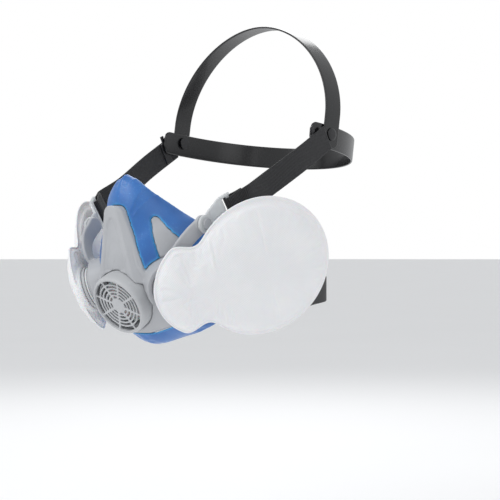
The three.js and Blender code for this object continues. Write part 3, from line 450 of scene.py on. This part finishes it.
def mixColors(tree, share, first, second):
    node = tree.nodes.new("ShaderNodeMix")
    node.data_type = "RGBA"
    tree.links.new(share, node.inputs["Factor"])
    for socket, value in ((node.inputs[6], first), (node.inputs[7], second)):
        if isinstance(value, tuple):
            socket.default_value = (*value, 1)
        else:
            tree.links.new(value, socket)
    return node.outputs[2]


def addBump(tree, shader, height, distance, strength=1.0, under=None):
    bump = tree.nodes.new("ShaderNodeBump")
    bump.inputs["Distance"].default_value = distance
    bump.inputs["Strength"].default_value = strength
    tree.links.new(height, bump.inputs["Height"])
    if under is not None:
        tree.links.new(under, bump.inputs["Normal"])
    tree.links.new(bump.outputs["Normal"], shader.inputs["Normal"])
    return bump.outputs["Normal"]


# A moulded plastic: two close tints, its grain as bump, and rubs that change the gloss a little.
def mouldedPlastic(name, color, deeper, roughness, grain, rubs, **sockets):
    material, tree, shader = startMaterial(name, roughness, **sockets)
    place = objectVector(tree)
    surface = useGroup(tree, mouldGrain, Vector=place, Scale=grain)
    marks = useGroup(tree, handlingMarks, Vector=place, Amount=rubs)
    tinted = mixColors(tree, surface.outputs["Tint"], deeper, color)
    worn = tuple(min(1.0, c * 1.12 + 0.015) for c in color)
    tree.links.new(mixColors(tree, marks.outputs["Mask"], tinted, worn), shader.inputs["Base Color"])
    gloss = addMath(tree, "MULTIPLY_ADD", surface.outputs["Tint"], 0.07, roughness - 0.03)
    rubbed = addMath(tree, "MULTIPLY_ADD", marks.outputs["Mask"], 0.18, gloss)
    tree.links.new(rubbed, shader.inputs["Roughness"])
    addBump(tree, shader, surface.outputs["Height"], 0.00006, 0.5)
    return material


# Soft translucent rubber: deep blue in the thick of it, with painted light on its cuts and lips, a brighter
# blue that stands in for light glowing through the thinner rubber there. The share of that painted light at
# each place is the piece's own float attribute.
def sealRubber():
    material, tree, shader = startMaterial(
        "sealRubber", 0.33, Subsurface_Weight=0.25, Subsurface_Scale=0.004,
        Coat_Weight=0.12, Coat_Roughness=0.3,
    )
    shader.inputs["Subsurface Radius"].default_value = (0.25, 0.6, 1.0)
    place = objectVector(tree)
    surface = useGroup(tree, mouldGrain, Vector=place, Scale=0.8)
    marks = useGroup(tree, handlingMarks, Vector=place, Amount=0.5)
    thin = tree.nodes.new("ShaderNodeAttribute")
    thin.attribute_name = "edgeLightShare"
    body = mixColors(tree, surface.outputs["Tint"], (0.024, 0.125, 0.40), (0.034, 0.165, 0.48))
    # painted light: brighter blue on cuts and lips, standing in for light glowing through the thinner rubber
    edgeLitBlue = mixColors(tree, thin.outputs["Fac"], body, (0.075, 0.44, 0.82))
    rubbed = mixColors(tree, marks.outputs["Mask"], edgeLitBlue, (0.12, 0.40, 0.76))
    tree.links.new(rubbed, shader.inputs["Base Color"])
    gloss = addMath(tree, "MULTIPLY_ADD", surface.outputs["Tint"], 0.1, 0.28)
    tree.links.new(gloss, shader.inputs["Roughness"])
    addBump(tree, shader, surface.outputs["Height"], 0.00005, 0.4)
    return material


# Point-bonded nonwoven: a diamond lattice of small pressed dots 1.1 mm apart on the piece's flat map,
# loose fibres between them, and slow puckers under both.
def nonwoven():
    material, tree, shader = startMaterial("nonwoven", 0.86, Sheen_Weight=0.12, Sheen_Roughness=0.6)
    shader.inputs["Subsurface Weight"].default_value = 0.12
    shader.inputs["Subsurface Scale"].default_value = 0.003
    flat = tree.nodes.new("ShaderNodeUVMap")
    flat.uv_map = "flat"
    turned = tree.nodes.new("ShaderNodeMapping")
    turned.inputs["Rotation"].default_value = (0, 0, math.radians(45))
    tree.links.new(flat.outputs["UV"], turned.inputs["Vector"])
    split = tree.nodes.new("ShaderNodeSeparateXYZ")
    tree.links.new(turned.outputs["Vector"], split.inputs["Vector"])
    waves = [
        addMath(tree, "COSINE", addMath(tree, "MULTIPLY", split.outputs[axis], 2 * math.pi / 0.0011))
        for axis in ("X", "Y")
    ]
    dots = addRange(tree, addMath(tree, "ADD", waves[0], waves[1]), 0.7, 1.6)
    fibres = addNoise(tree, flat.outputs["UV"], 2200.0, 4.0, 0.7)
    puckers = addNoise(tree, flat.outputs["UV"], 90.0, 3.0, 0.55)
    soil = addRange(tree, addNoise(tree, flat.outputs["UV"], 24.0, 4.0, 0.6), 0.35, 0.75)
    cloth = mixColors(tree, soil, (0.84, 0.845, 0.86), (0.89, 0.892, 0.90))
    tree.links.new(mixColors(tree, addMath(tree, "MULTIPLY", dots, 0.55), cloth, (0.66, 0.67, 0.70)),
                   shader.inputs["Base Color"])
    tree.links.new(addMath(tree, "MULTIPLY_ADD", dots, -0.3, 0.88), shader.inputs["Roughness"])
    slow = addBump(tree, shader, puckers, 0.0005, 0.5)
    web = addBump(tree, shader, fibres, 0.00012, 0.45, slow)
    addBump(tree, shader, addMath(tree, "SUBTRACT", 1.0, dots), 0.00018, 0.7, web)
    return material


# Woven elastic: cross ribs 1.25 mm apart, fine yarns along the length, a smooth selvedge at each side.
def wovenElastic(width):
    material, tree, shader = startMaterial("wovenElastic", 0.78, Sheen_Weight=0.12, Sheen_Roughness=0.45)
    flat = tree.nodes.new("ShaderNodeUVMap")
    flat.uv_map = "flat"
    split = tree.nodes.new("ShaderNodeSeparateXYZ")
    tree.links.new(flat.outputs["UV"], split.inputs["Vector"])
    across, run = split.outputs["X"], split.outputs["Y"]
    ribs = addMath(tree, "SINE", addMath(tree, "MULTIPLY", run, 2 * math.pi / 0.00125))
    yarns = addMath(tree, "SINE", addMath(tree, "MULTIPLY", across, 2 * math.pi / 0.00062))
    fromMiddle = addMath(tree, "ABSOLUTE", addMath(tree, "SUBTRACT", across, width / 2))
    selvedge = addRange(tree, fromMiddle, width / 2 - 0.0021, width / 2 - 0.0013)
    woven = addMath(tree, "SUBTRACT", 1.0, selvedge)
    ribHeight = addMath(tree, "MULTIPLY", addRange(tree, ribs, -0.7, 0.9), woven)
    fuzz = addNoise(tree, flat.outputs["UV"], 1500.0, 3.0, 0.6)
    # painted shade: the black is darker in the grooves between the ribs and lighter on the rib tops, mixed
    # with a random fibre tone
    shade = addMath(tree, "MULTIPLY_ADD", fuzz, 0.45, addMath(tree, "MULTIPLY", ribHeight, 0.55))
    blackAndRibShade = mixColors(tree, shade, (0.006, 0.006, 0.007), (0.030, 0.030, 0.033))
    tree.links.new(blackAndRibShade, shader.inputs["Base Color"])
    tree.links.new(addMath(tree, "MULTIPLY_ADD", selvedge, -0.2, 0.82), shader.inputs["Roughness"])
    fine = addBump(tree, shader, yarns, 0.00005, 0.5)
    addBump(tree, shader, ribHeight, 0.00022, 0.8, fine)
    return material


finishes = {
    "seal_blue": sealRubber(),
    "hard_grey": mouldedPlastic("hardGrey", (0.455, 0.465, 0.485), (0.42, 0.43, 0.45), 0.44, 1.0, 0.35),
    "cover_grey": mouldedPlastic("coverGrey", (0.50, 0.51, 0.525), (0.465, 0.475, 0.49), 0.46, 1.1, 0.3),
    "silicone": mouldedPlastic("silicone", (0.69, 0.70, 0.71), (0.64, 0.65, 0.66), 0.36, 0.7, 0.1,
                               Subsurface_Weight=0.2, Subsurface_Scale=0.003),
    "filter_white": nonwoven(),
    "buckle_clear": mouldedPlastic("buckleClear", (0.80, 0.82, 0.83), (0.74, 0.765, 0.78), 0.26, 0.6, 0.3,
                                   Transmission_Weight=0.35, IOR=1.47),
    "webbing_black": wovenElastic(0.020),
    "cradle_black": mouldedPlastic("cradleBlack", (0.007, 0.007, 0.008), (0.005, 0.005, 0.006), 0.27, 0.4,
                                   0.15, Coat_Weight=0.2, Coat_Roughness=0.12),
    "trim_black": mouldedPlastic("trimBlack", (0.018, 0.018, 0.020), (0.013, 0.013, 0.015), 0.36, 0.9, 0.45),
}
print("finishes made:", len(finishes))

# Hard parts and the seal.

mouldings = {
    "face_seal": {"voxel": 0.00075, "rounds": 7, "depths": (0.0, 0.0022), "slot": "seal_blue"},
    "inner_shell": {"voxel": 0.0008, "rounds": 4, "depths": (0.0009, 0.00255, 0.00435), "slot": "hard_grey"},
    "front_yoke": {"voxel": 0.0007, "rounds": 4, "depths": (-0.0014, 0.0022), "slot": "hard_grey"},
    "exhalation_cover": {"voxel": 0.00045, "rounds": 3, "depths": (), "slot": "cover_grey"},
}


# How open the rubber is, which is where light is painted on it: 1 where a face turns away from the mask's
# form, as on a cut or lip, then spread a few millimetres into the body by averaging over the edges of the
# mesh. The material paints a brighter blue in that share, as light glowing through the thinner rubber.
def edgeLightShareOf(mesh, spread):
    level = np.abs((formDepth(verticesOf(mesh))[1] * normalsOf(mesh)).sum(1))
    value = np.clip((0.8 - level) / 0.4, 0, 1)
    pairs = np.empty(len(mesh.edges) * 2, np.int32)
    mesh.edges.foreach_get("vertices", pairs)
    pairs = pairs.reshape(-1, 2)
    links = np.bincount(pairs.ravel(), minlength=len(value))
    start = value.copy()
    for _ in range(spread):
        total = np.bincount(pairs[:, 0], value[pairs[:, 1]], len(value))
        total += np.bincount(pairs[:, 1], value[pairs[:, 0]], len(value))
        value = np.maximum(total / np.maximum(links, 1), start * 0.9)
    layer = mesh.attributes.new("edgeLightShare", "FLOAT", "POINT")
    layer.data.foreach_set("value", value.astype(np.float32))


for name, info in mouldings.items():
    mesh = mouldedMesh(name, info["voxel"], info["rounds"], info["depths"])
    if name == "face_seal":
        # the share of painted edge light that the seal's material reads
        edgeLightShareOf(mesh, 6)
    body = nodes[name]["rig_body"]
    addPiece(name + "_moulded", mesh, body, finishes[info["slot"]], info["slot"], name)
    print("moulded", name, len(mesh.polygons), "faces")

smallMouldings = {
    "upper_buckle": {"voxel": 0.0004, "rounds": 3, "slot": "buckle_clear"},
    "lower_buckle": {"voxel": 0.0004, "rounds": 3, "slot": "buckle_clear"},
    "neck_slider": {"voxel": 0.0004, "rounds": 3, "slot": "trim_black"},
    "cradle_rivet": {"voxel": 0.0003, "rounds": 2, "slot": "trim_black"},
    "strap_keeper": {"voxel": 0.0003, "rounds": 2, "slot": "trim_black"},
}

for name, info in smallMouldings.items():
    for side in ("left", "right"):
        node = f"{name}_{side}"
        mesh = mouldedMesh(node, info["voxel"], info["rounds"])
        addPiece(node + "_moulded", mesh, nodes[node]["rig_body"], finishes[info["slot"]], info["slot"], node)

for node in ("neck_clip_hook", "neck_clip_loop"):
    mesh = mouldedMesh(node, 0.0004, 3)
    addPiece(node + "_moulded", mesh, "neck_harness", finishes["trim_black"], "trim_black", node)
print("small mouldings made")

# Turned parts keep their CAD shape: their facets are merged and shaded smooth up to a sharp corner.
turnedNodes = {
    "exhalation_seat": "cover_grey",
    "exhalation_flap": "silicone",
    "inlet_port_left": "hard_grey",
    "inlet_port_right": "hard_grey",
    "inhalation_flap_left": "silicone",
    "inhalation_flap_right": "silicone",
    "port_gasket_left": "silicone",
    "port_gasket_right": "silicone",
    "filter_plug_left": "cover_grey",
    "filter_plug_right": "cover_grey",
}

for name, slotName in turnedNodes.items():
    node = nodes[name]
    node.data.polygons.foreach_set("use_smooth", np.ones(len(node.data.polygons), bool))
    weld = node.modifiers.new("weld", "WELD")
    weld.merge_threshold = 2e-6
    split = node.modifiers.new("corners", "EDGE_SPLIT")
    split.split_angle = math.radians(32)
    node.data.materials.clear()
    node.data.materials.append(finishes[slotName])

# Webbing.

webbing = {
    "width": 0.020,
    "wall": 0.0013,
    "loop": 0.00275,
    "upperPivot": (0.061, -0.035, 0.028),
    "upperBar": (0.071, -0.017, 0.040),
    "upperTail": 0.013,
    "upperEndX": 0.08305,
    "upperRoute": [(0.58, 0.015, 0.058), (0.93, 0.050, 0.0785), (1, 0.082, 0.097)],
    "lowerPivot": (0.060, 0.004, -0.036),
    "lowerBar": (0.063, 0.0265, -0.033),
    "lowerTail": 0.034,
    "clearance": 0.00035,
    "lowerRoute": [
        (0.062, 0.088, -0.025), (0.053, 0.117, -0.023), (0.03456, 0.1395, -0.022),
        (0.026, 0.1475, -0.022), (0.021, 0.148, -0.022), (0.014, 0.148, -0.022),
    ],
}


# The webbing's middle line: a loose tail under the strap, half a turn round the buckle's bar, the two
# layers coming together past the loop, and then the route. Gives the points and their outward sides.
def strapLine(pivot, bar, tail, route, outwards, count):
    pivot, bar = np.array(pivot), np.array(bar)
    heading = unit(bar - pivot)
    out = unit(np.array([1.0, 0, 0]) - heading[0] * heading)
    gap = webbing["clearance"]
    pressed = webbing["wall"] / 2 + gap
    r = webbing["loop"]
    merging = [(0.003, r - 0.0004), (0.006, pressed + gap), (0.009, pressed)]
    under = [(tail, pressed)] + ([(0.020, pressed)] if tail > 0.020 else []) + merging[::-1]
    turn = np.linspace(-np.pi / 2, -1.5 * np.pi, 17)

    def place(s, o):
        return bar + heading * s + out * o

    points = [place(s, -o) for s, o in under]
    sides = [-out for _ in under]
    points += [place(np.cos(a) * r, np.sin(a) * r) for a in turn]
    sides += [place(np.cos(a) * r, np.sin(a) * r) - bar for a in turn]
    points += [place(s, o) for s, o in merging]
    sides += [out for _ in merging]
    straight = [place(s, pressed) for s in np.linspace(0.009, tail + 0.002, 4)]
    main = curveThrough(straight + [np.array(p) for p in route], count)[1:]
    share = np.clip((np.arange(len(main)) + 1) / (count * 0.5), 0, 1)[:, None]
    mainSides = out * (1 - share) + unit(outwards(main)) * share
    return np.vstack([points, main]), np.vstack([unit(np.array(sides)), mainSides])


def makeStrap(name, node, body, pivot, bar, tail, route, outwards):
    path, sides = strapLine(pivot, bar, tail, route, outwards, 150)
    rings = ribbonRings(path, sides, webbing["width"], webbing["wall"], edge=0.25)
    uv, length = ribbonUv(path, webbing["width"])
    left = tubeMesh(name, rings, uv)
    for side, mesh in (("left", left), ("right", mirroredMesh(left, name + "_right"))):
        strap = addPiece(f"{name}_{side}", mesh, body, finishes["webbing_black"], "webbing_black",
                         f"{node}_{side}")
    print(name, "length", round(float(length), 4))


# The upper route's x is a share of the way from the buckle's bar to the strap's end.
def upperRoute():
    barX = webbing["upperBar"][0]
    return [(barX + share * (webbing["upperEndX"] - barX), y, z) for share, y, z in webbing["upperRoute"]]


makeStrap("upperWebbing", "upper_strap", "head_harness", webbing["upperPivot"], webbing["upperBar"],
          webbing["upperTail"], upperRoute(), lambda p: np.tile([1.0, 0, 0], (len(p), 1)))
makeStrap("neckWebbing", "neck_strap", "neck_harness", webbing["lowerPivot"], webbing["lowerBar"],
          webbing["lowerTail"], webbing["lowerRoute"], lambda p: (p - (0, 0.087, 0)) * (1, 1, 0))

# Head cradle.

cradle = {
    "wall": 0.0016,
    "width": 0.0185,
    "middleX": 0.0793,
    "halfLength": 0.1018,
    "centreY": 0.078,
    "rivetY": 0.0885,
    "rivetZ": 0.100,
    "frontY": 0.066,
    "fall": 0.11,
    "crownX": 0.08125,
    "crownZ": 0.115,
    "crownTop": 0.193,
    "crownLean": 0.015,
    "crownPower": 1.9,
}


# A band's width: full along its run, rounded off to a tongue over the last few millimetres.
def tongueWidth(path, width, reach):
    run = np.concatenate([[0], np.cumsum(np.linalg.norm(np.diff(path, axis=0), axis=1))])
    fromEnd = np.minimum(run, run[-1] - run)
    missing = np.clip(1 - fromEnd / reach, 0, 1)
    return width * (0.35 + 0.65 * np.sqrt(1 - missing**2))


# Rear band: part of an ellipse seen from above, falling a little towards the back.
def rearBandMesh():
    first = math.asin((cradle["frontY"] - cradle["centreY"]) / cradle["halfLength"])
    a = np.linspace(first, np.pi - first, 260)
    y = cradle["centreY"] + cradle["halfLength"] * np.sin(a)
    z = cradle["rivetZ"] - 0.002 - cradle["fall"] * (y - cradle["rivetY"])
    path = np.stack([cradle["middleX"] * np.cos(a), y, z], axis=1)
    back = (y - cradle["centreY"]) / cradle["halfLength"]
    facing = np.stack([path[:, 0] / cradle["middleX"], back, -0.16 * np.maximum(0, back)], axis=1)
    width = tongueWidth(path, cradle["width"], 0.006)
    return tubeMesh("rearBand", ribbonRings(path, facing, width, cradle["wall"]))


# Crown band: an arch of superellipse shape that leans back as it rises, with a straight foot each side.
def crownBandMesh():
    rise = cradle["crownTop"] - cradle["wall"] / 2 - cradle["crownZ"]
    a = np.linspace(0, np.pi, 260)
    power = 2 / cradle["crownPower"]
    x = cradle["crownX"] * np.sign(np.cos(a)) * np.abs(np.cos(a)) ** power
    z = cradle["crownZ"] + rise * np.sin(a) ** power
    foot = np.linspace(cradle["rivetZ"] - 0.0105, cradle["crownZ"] - 0.001, 24)
    x = np.concatenate([np.full(24, cradle["crownX"]), x, np.full(24, -cradle["crownX"])])
    z = np.concatenate([foot, z, foot[::-1]])
    climb = (z - cradle["rivetZ"]) / (cradle["crownTop"] - cradle["rivetZ"])
    y = cradle["rivetY"] + cradle["crownLean"] * climb
    path = curveThrough(np.stack([x, y, z], axis=1), 300)
    facing = np.stack([path[:, 0], 0 * path[:, 0], np.maximum(1e-6, path[:, 2] - cradle["crownZ"])], axis=1)
    width = tongueWidth(path, cradle["width"], 0.006)
    return tubeMesh("crownBand", ribbonRings(path, facing, width, cradle["wall"]))


addPiece("rearBand", rearBandMesh(), "head_harness", finishes["cradle_black"], "cradle_black", "rear_band")
addPiece("crownBand", crownBandMesh(), "crown", finishes["cradle_black"], "cradle_black", "crown_band")
print("straps and cradle made")

# Filter pads.

pad = {
    "axisPoint": (0.0496, -0.0514, -0.0216),
    "yaw": 64,
    "dip": 18,
    "along": (0.5, 0.82, 0.278),
    "lobeDistance": 0.0668,
    "lobeRadius": 0.0545,
    "endRadius": 0.041,
    "endReach": 0.0185,
    "neckHalf": 0.0312,
    "neckAt": 0.016,
    "weldWidth": 0.0032,
    "weldThickness": 0.0014,
    "outerCrown": 0.0095,
    "innerCrown": 0.0044,
    "seatRadius": 0.0172,
    "seatDepth": 0.0040,
    "frames": 16,
    "cap": 0.0016,
}


def padAxes():
    yaw, dip = math.radians(pad["yaw"]), math.radians(pad["dip"])
    out = np.array([math.sin(yaw) * math.cos(dip), -math.cos(yaw) * math.cos(dip), -math.sin(dip)])
    run = np.array(pad["along"])
    run = unit(run - (run @ out) * out)
    return np.array([run, np.cross(out, run), out])


# Outline of the pear, upper half from its small end to the tip of its lobe: an arc, two easy curves
# through the neck, and the lobe's arc. The lower half mirrors it.
def padOutline(count):
    end = pad["endRadius"] - pad["endReach"]
    a = np.linspace(math.pi, math.radians(124), 40)
    small = np.stack([end + pad["endRadius"] * np.cos(a), pad["endRadius"] * np.sin(a)], axis=1)
    a = np.linspace(math.radians(137), 0, 90)
    r = pad["lobeRadius"]
    lobe = np.stack([pad["lobeDistance"] + r * np.cos(a), r * np.sin(a)], axis=1)
    neck = np.array([pad["neckAt"], pad["neckHalf"]])
    t = np.linspace(0, 1, 24)[:, None]

    def bend(p0, p1, p2, p3):
        return (1 - t) ** 3 * p0 + 3 * t * (1 - t) ** 2 * p1 + 3 * t**2 * (1 - t) * p2 + t**3 * p3

    into = bend(small[-1], small[-1] + (0.0045, 0.0026), neck + (-0.0045, 0.0006), neck)
    away = bend(neck, neck + (0.005, -0.0006), lobe[0] + (-0.004, -0.004), lobe[0])
    half = np.vstack([small, into[1:], away[1:], lobe[1:]])
    run = np.concatenate([[0], np.cumsum(np.linalg.norm(np.diff(half, axis=0), axis=1))])
    wanted = np.linspace(0, run[-1], count // 2 + 1)
    half = np.stack([np.interp(wanted, run, half[:, k]) for k in range(2)], axis=1)
    return np.vstack([half, half[-2:0:-1] * (1, -1)])


# Both faces of the pad as rings that shrink from the outline towards a line down its middle. A face
# rises from the flat weld as crown * (1 - (share / weld) ** 2.4) ** 0.8, with shallow gathers that
# run in from the weld and are deepest at the neck.
def padRings(outline):
    spine = np.stack([np.clip(outline[:, 0], 0.010, pad["lobeDistance"]), 0 * outline[:, 0]], axis=1)
    weldShare = 1 - pad["weldWidth"] / pad["lobeRadius"]
    half = pad["weldThickness"] / 2
    shares = np.linspace(0.05, 0.95, 24) ** 0.8 * weldShare
    place = np.arange(len(outline)) / len(outline) * 2 * np.pi
    atNeck = np.exp(-(((outline[:, 0] - pad["neckAt"]) / 0.016) ** 2))
    gathers = np.sin(place * 41) * 0.5 + np.sin(place * 67 + 1.3) * 0.3 + np.sin(place * 23 + 0.6) * 0.4

    def ring(share, height):
        flat = spine + (outline - spine) * share
        return np.concatenate([flat, np.broadcast_to(np.asarray(height), len(outline))[:, None]], axis=1)

    def face(share, crown):
        rise = half + crown * (1 - (share / weldShare) ** 2.4) ** 0.8
        fade = (share / weldShare) ** 3 * (1 - share / weldShare) * 6
        return rise + (0.00018 + 0.00042 * atNeck) * gathers * fade

    top = [ring(s, face(s, pad["outerCrown"] - half)) for s in shares[::-1]]
    bottom = [ring(s, -face(s, pad["innerCrown"] - half)) for s in shares]
    step = pad["weldWidth"] / pad["lobeRadius"]
    weld = [(weldShare, half), (weldShare + 0.18 * step, half * 0.62), (weldShare + 0.36 * step, half),
            (weldShare + 0.9 * step, half), (1.0, half * 0.7)]
    lower = [ring(s, -h) for s, h in weld]
    upper = [ring(s, h) for s, h in weld[::-1]]
    return np.array(bottom + lower + upper + top)


# The crowned faces are inflated a little as cloth whose rest length is longer than its span, so they
# pucker by themselves; the weld and the seat of the plug stay held, and no point moves far.
def puffPad(mesh, held):
    start = verticesOf(mesh)
    work = bpy.data.objects.new("padCloth", mesh)
    bpy.context.scene.collection.objects.link(work)
    group = work.vertex_groups.new(name="held")
    group.add(np.nonzero(held)[0].tolist(), 1.0, "REPLACE")
    cloth = work.modifiers.new("cloth", "CLOTH")
    cloth.settings.quality = 5
    cloth.settings.mass = 0.12
    cloth.settings.tension_stiffness = 8
    cloth.settings.compression_stiffness = 8
    cloth.settings.shear_stiffness = 4
    cloth.settings.bending_stiffness = 0.06
    cloth.settings.shrink_min = -0.035
    cloth.settings.use_pressure = True
    cloth.settings.uniform_pressure_force = 3.0
    cloth.settings.vertex_group_mass = "held"
    cloth.settings.effector_weights.gravity = 0
    cloth.collision_settings.use_collision = False
    cloth.collision_settings.use_self_collision = False
    scene = bpy.context.scene
    for step in range(1, pad["frames"] + 1):
        scene.frame_set(step)
    shaped = bpy.data.meshes.new_from_object(work.evaluated_get(bpy.context.evaluated_depsgraph_get()))
    moved = verticesOf(shaped) - start
    scene.frame_set(1)
    bpy.data.objects.remove(work)
    size = np.linalg.norm(moved, axis=1, keepdims=True)
    moved = moved * (pad["cap"] * np.tanh(size / pad["cap"]) / np.maximum(size, 1e-9))
    return start + np.where(held[:, None], 0, moved)


def padMesh():
    outline = padOutline(216)
    rings = padRings(outline)
    count = rings.shape[1]
    uv = np.concatenate([rings[:, :, :2], rings[:, :1, :2]], axis=1) + 0.1
    mesh = tubeMesh("padLeft", rings, uv)
    co = verticesOf(mesh)
    flat = np.hypot(co[:, 0], co[:, 1])
    fromWeld = np.abs(np.repeat(np.arange(len(rings)), count) - (len(rings) - 1) / 2)
    atSeat = (co[:, 2] < 0) & (flat < pad["seatRadius"] + 0.003)
    held = (fromWeld < 5.6) | atSeat
    co = puffPad(mesh.copy(), held)
    seat = np.clip((pad["seatRadius"] + 0.0022 - flat) / 0.0015, 0, 1) * (co[:, 2] < 0)
    co[:, 2] += (-pad["seatDepth"] - co[:, 2]) * seat
    world = np.array(pad["axisPoint"]) + co @ padAxes()
    mesh.vertices.foreach_set("co", world.astype(np.float32).ravel())
    mesh.update()
    print("pad shaped:", len(mesh.polygons), "faces")
    return mesh


def addPads():
    left = padMesh()
    for side, mesh in (("left", left), ("right", mirroredMesh(left, "padRight"))):
        piece = addPiece(f"filterPad_{side}", mesh, f"filter_{side}", finishes["filter_white"],
                         "filter_white", f"filter_pad_{side}")
        rounded = piece.modifiers.new("rounding", "SUBSURF")
        rounded.levels = rounded.render_levels = 1


addPads()
print("pads made")

# Floor and its paint.


def makeFloor():
    a = np.linspace(0, 2 * np.pi, 96, endpoint=False)
    reach = view["floorRadius"]
    ring = np.stack([reach * np.cos(a), reach * np.sin(a), np.full(96, view["floorZ"])], axis=1)
    mesh = bpy.data.meshes.new("floor")
    mesh.from_pydata(ring, [], [list(range(96))])
    floor = bpy.data.objects.new("floor", mesh)
    bpy.context.scene.collection.objects.link(floor)
    material, tree, shader = startMaterial("floorPaint", 0.7)
    tint = addNoise(tree, objectVector(tree), 3.0, 2.0)
    paint = mixColors(tree, tint, (0.90, 0.90, 0.905), (0.92, 0.92, 0.925))
    tree.links.new(paint, shader.inputs["Base Color"])
    mesh.materials.append(material)


makeFloor()
